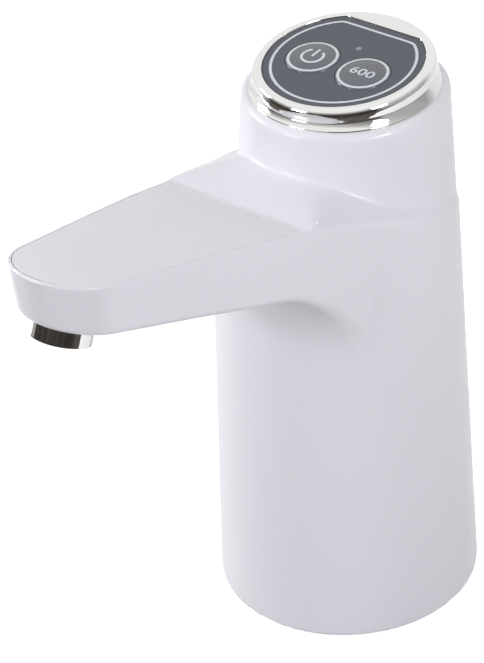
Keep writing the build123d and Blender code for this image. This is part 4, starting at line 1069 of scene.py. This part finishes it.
def nozzle_loop(radius, up, steps=128):
    """Loop around the nozzle's axis, which leans a little from the arm's own square."""
    lean_sin, lean_cos = math.sin(NOZZLE_LEAN), math.cos(NOZZLE_LEAN)
    places = []
    for a in turn_angles(steps):
        out, rise = radius * math.cos(a), up + NOZZLE_TOP
        along = TIP_REACH + NOZZLE_SHIFT + out * lean_cos - rise * lean_sin
        level = -NOZZLE_TOP + out * lean_sin + rise * lean_cos
        places.append(arm_to_world(along, radius * math.sin(a), level))
    return places


def make_nozzle():
    """Plated outlet with rounded edges and its bore."""
    outer, inner, edge = NOZZLE_RADIUS, NOZZLE_RADIUS - NOZZLE_WALL, NOZZLE_ROUND
    low = -NOZZLE_DROP
    rows = [(outer, -NOZZLE_TOP), (outer, low + 2.0 * edge), (outer, low + edge)]
    for angle in quarter_turn()[1:]:
        rows.append((outer - edge * (1.0 - math.cos(angle)), low + edge * (1.0 - math.sin(angle))))
    for angle in quarter_turn():
        rows.append((inner + edge * (1.0 - math.sin(angle)), low + edge * (1.0 - math.cos(angle))))
    rows.append((inner, -NOZZLE_TOP))
    loops = [nozzle_loop(*row) for row in rows]
    return loops_piece("nozzle_shell", loops, chrome, smooth_angle=60.0)


nozzle = make_nozzle()
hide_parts("spout_nozzle")


# Trim of the lower edge and the charging port

def ring_loop(radius, z, steps=TURN_STEPS):
    """Level loop about the lower body's axis."""
    return [(radius * math.cos(a), radius * math.sin(a), z) for a in turn_angles(steps)]


def make_foot_land():
    """Flat land under the body's wall and the wall's inner side."""
    loops = [ring_loop(BASE_RADIUS - inset, BASE_GAP + up) for inset, up in FOOT_PROFILE]
    return loops_piece("foot_land", loops, body_white)


def back_face(x, z):
    """Depth of the column's back surface at a place."""
    lean = COLUMN_LEAN / COLUMN_HEIGHT * z
    radius = BASE_RADIUS - (BASE_RADIUS - COLUMN_TOP_RADIUS) / COLUMN_HEIGHT * z
    return lean + math.sqrt(radius ** 2 - x ** 2)


def port_loop(wide, tall, corner, lift, steps=10):
    """Rounded rectangle around the port, laid over the column's back."""
    places = []
    for side_x, side_z, first in ((1, 1, 0), (-1, 1, 1), (-1, -1, 2), (1, -1, 3)):
        for i in range(steps):
            angle = math.pi / 2.0 * (first + i / (steps - 1))
            x = side_x * (wide / 2.0 - corner) + corner * math.cos(angle)
            z = PORT_HEIGHT + side_z * (tall / 2.0 - corner) + corner * math.sin(angle)
            places.append((x, back_face(x, z) + lift, z))
    return places


def make_port_bezel():
    """Slightly raised frame around the charging port with its walls going in."""
    loops = [
        port_loop(PORT_WIDTH + grown, PORT_DEPTH + grown, corner, lift)
        for grown, corner, lift in PORT_PROFILE]
    return loops_piece("port_bezel", loops, body_white, smooth_angle=60.0)


make_foot_land()
make_port_bezel()


# Camera, floor and light

def make_camera():
    """Camera at the photograph's place."""
    data = bpy.data.cameras.new("camera")
    data.sensor_width = SENSOR_WIDTH
    data.sensor_fit = "HORIZONTAL"
    data.lens = FOCAL_PIXELS / PHOTO_WIDTH * SENSOR_WIDTH
    data.clip_start = 0.05
    data.clip_end = 20.0
    camera = bpy.data.objects.new("camera", data)
    turn = Matrix((CAMERA_RIGHT, CAMERA_UP, CAMERA_BACK)).transposed()
    camera.matrix_world = Matrix.Translation(Vector(CAMERA_PLACE) * MM) @ turn.to_4x4()
    bpy.context.scene.collection.objects.link(camera)
    bpy.context.scene.camera = camera


make_camera()


def combine(tree, operation, *terms):
    """Math node over two terms, each a socket or a number."""
    node = tree.nodes.new("ShaderNodeMath")
    node.operation = operation
    for slot, term in zip(node.inputs, terms):
        if isinstance(term, float):
            slot.default_value = term
        else:
            tree.links.new(term, slot)
    return node.outputs[0]


def floor_material():
    """Pale floor that reads white to the camera and keeps the object's shadow."""
    material, tree, shader = new_material("floor_pale")
    shader.inputs["Base Color"].default_value = (*FLOOR_COLOUR, 1.0)
    shader.inputs["Roughness"].default_value = 0.7
    shader.inputs["Specular IOR Level"].default_value = 0.1
    path = tree.nodes.new("ShaderNodeLightPath")
    gloss = combine(tree, "MULTIPLY", path.outputs["Is Glossy Ray"], FLOOR_GLOW_IN_GLOSS)
    seen = combine(tree, "MAXIMUM", path.outputs["Is Camera Ray"], gloss)
    glow = combine(tree, "MULTIPLY", seen, FLOOR_GLOW)
    shader.inputs["Emission Color"].default_value = (1.0, 1.0, 1.0, 1.0)
    tree.links.new(glow, shader.inputs["Emission Strength"])
    return material


def make_floor():
    """Plain round floor."""
    builder = bmesh.new()
    bmesh.ops.create_circle(builder, cap_ends=True, radius=FLOOR_RADIUS, segments=96)
    mesh = bpy.data.meshes.new("floor")
    builder.to_mesh(mesh)
    builder.free()
    floor = bpy.data.objects.new("floor", mesh)
    mesh.materials.append(floor_material())
    bpy.context.scene.collection.objects.link(floor)
    floor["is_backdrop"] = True


make_floor()


def area_light(name, place, size, power):
    """Square soft light that faces the object."""
    data = bpy.data.lights.new(name, "AREA")
    data.shape = "SQUARE"
    data.size = size
    data.energy = power
    lamp = bpy.data.objects.new(name, data)
    lamp.location = place
    lamp.rotation_euler = (Vector(LAMP_AIM) - Vector(place)).to_track_quat("-Z", "Y").to_euler()
    bpy.context.scene.collection.objects.link(lamp)


for lamp_values in LAMPS:
    area_light(*lamp_values)


def flag_near(angle):
    """Near edge of the flag on the table, in a direction from the camera's."""
    for (a, near_a), (b, near_b) in zip(FLAG_EDGE, FLAG_EDGE[1:]):
        if a <= angle <= b:
            return near_a + (near_b - near_a) * (angle - a) / (b - a)
    return FLAG_REACH


def make_flag():
    """Dark flag around the front of the table, seen only in gloss and fading at its ends."""
    toward = math.atan2(CAMERA_BACK[1], CAMERA_BACK[0])
    points, shades = [], []
    heights = [FLAG_TOP * i / FLAG_ROWS for i in range(1, FLAG_ROWS + 1)]
    rows = len(heights) + 3
    for i in range(FLAG_STEPS + 1):
        degrees = FLAG_START + (FLAG_END - FLAG_START) * i / FLAG_STEPS
        angle = toward + math.radians(degrees)
        ends = np.interp(degrees, *FLAG_SHADES)
        near = flag_near(degrees)
        places = [(near, 1.0), ((near + FLAG_REACH) / 2.0, 1.0), (FLAG_REACH, 1.0)]
        places += [(FLAG_REACH, z) for z in heights]
        for reach, z in places:
            points.append((reach * math.cos(angle) * MM, reach * math.sin(angle) * MM, z * MM))
            level = min(1.0, max(0.0, 1.0 - (z - FLAG_FULL) / (FLAG_TOP - FLAG_FULL)))
            shades.append(1.0 if reach < FLAG_REACH else ends * level)
    faces = []
    for i in range(FLAG_STEPS):
        for j in range(rows - 1):
            a = rows * i + j
            faces.append((a, a + 1, a + 1 + rows, a + rows))
    mesh = bpy.data.meshes.new("flag")
    mesh.from_pydata(points, [], faces)
    mesh.attributes.new("shade", "FLOAT", "POINT").data.foreach_set("value", shades)
    flag = bpy.data.objects.new("flag", mesh)
    material, tree, shader = new_material("flag_cloth")
    tint(tree, noise(tree, 14.0, 3.0), *FLAG_COLOURS, shader.inputs["Base Color"])
    shader.inputs["Roughness"].default_value = 0.9
    shade = tree.nodes.new("ShaderNodeAttribute")
    shade.attribute_name = "shade"
    tree.links.new(shade.outputs["Fac"], shader.inputs["Alpha"])
    mesh.materials.append(material)
    bpy.context.scene.collection.objects.link(flag)
    flag.visible_camera = False
    flag.visible_diffuse = False
    flag.visible_shadow = False
    flag.visible_transmission = False
    flag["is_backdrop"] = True


make_flag()


def make_world():
    """White to the camera and to gloss, a soft studio level for everything else."""
    world = bpy.data.worlds.new("studio")
    bpy.context.scene.world = world
    world.use_nodes = True
    tree = world.node_tree
    tree.nodes.clear()
    out = tree.nodes.new("ShaderNodeOutputWorld")
    mix = tree.nodes.new("ShaderNodeMixShader")
    seen = tree.nodes.new("ShaderNodeBackground")
    level = tree.nodes.new("ShaderNodeBackground")
    seen.inputs["Color"].default_value = (1.0, 1.0, 1.0, 1.0)
    level.inputs["Color"].default_value = (*WORLD_COLOUR, 1.0)
    level.inputs["Strength"].default_value = WORLD_LEVEL
    path = tree.nodes.new("ShaderNodeLightPath")
    direct = combine(tree, "MAXIMUM", path.outputs["Is Camera Ray"], path.outputs["Is Glossy Ray"])
    white = combine(tree, "MAXIMUM", direct, path.outputs["Is Transmission Ray"])
    tree.links.new(white, mix.inputs["Fac"])
    tree.links.new(level.outputs[0], mix.inputs[1])
    tree.links.new(seen.outputs[0], mix.inputs[2])
    tree.links.new(mix.outputs[0], out.inputs["Surface"])


make_world()
bpy.context.scene.view_settings.view_transform = "Standard"

[[list(corner) for corner in box] for box in (cad_box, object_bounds())]
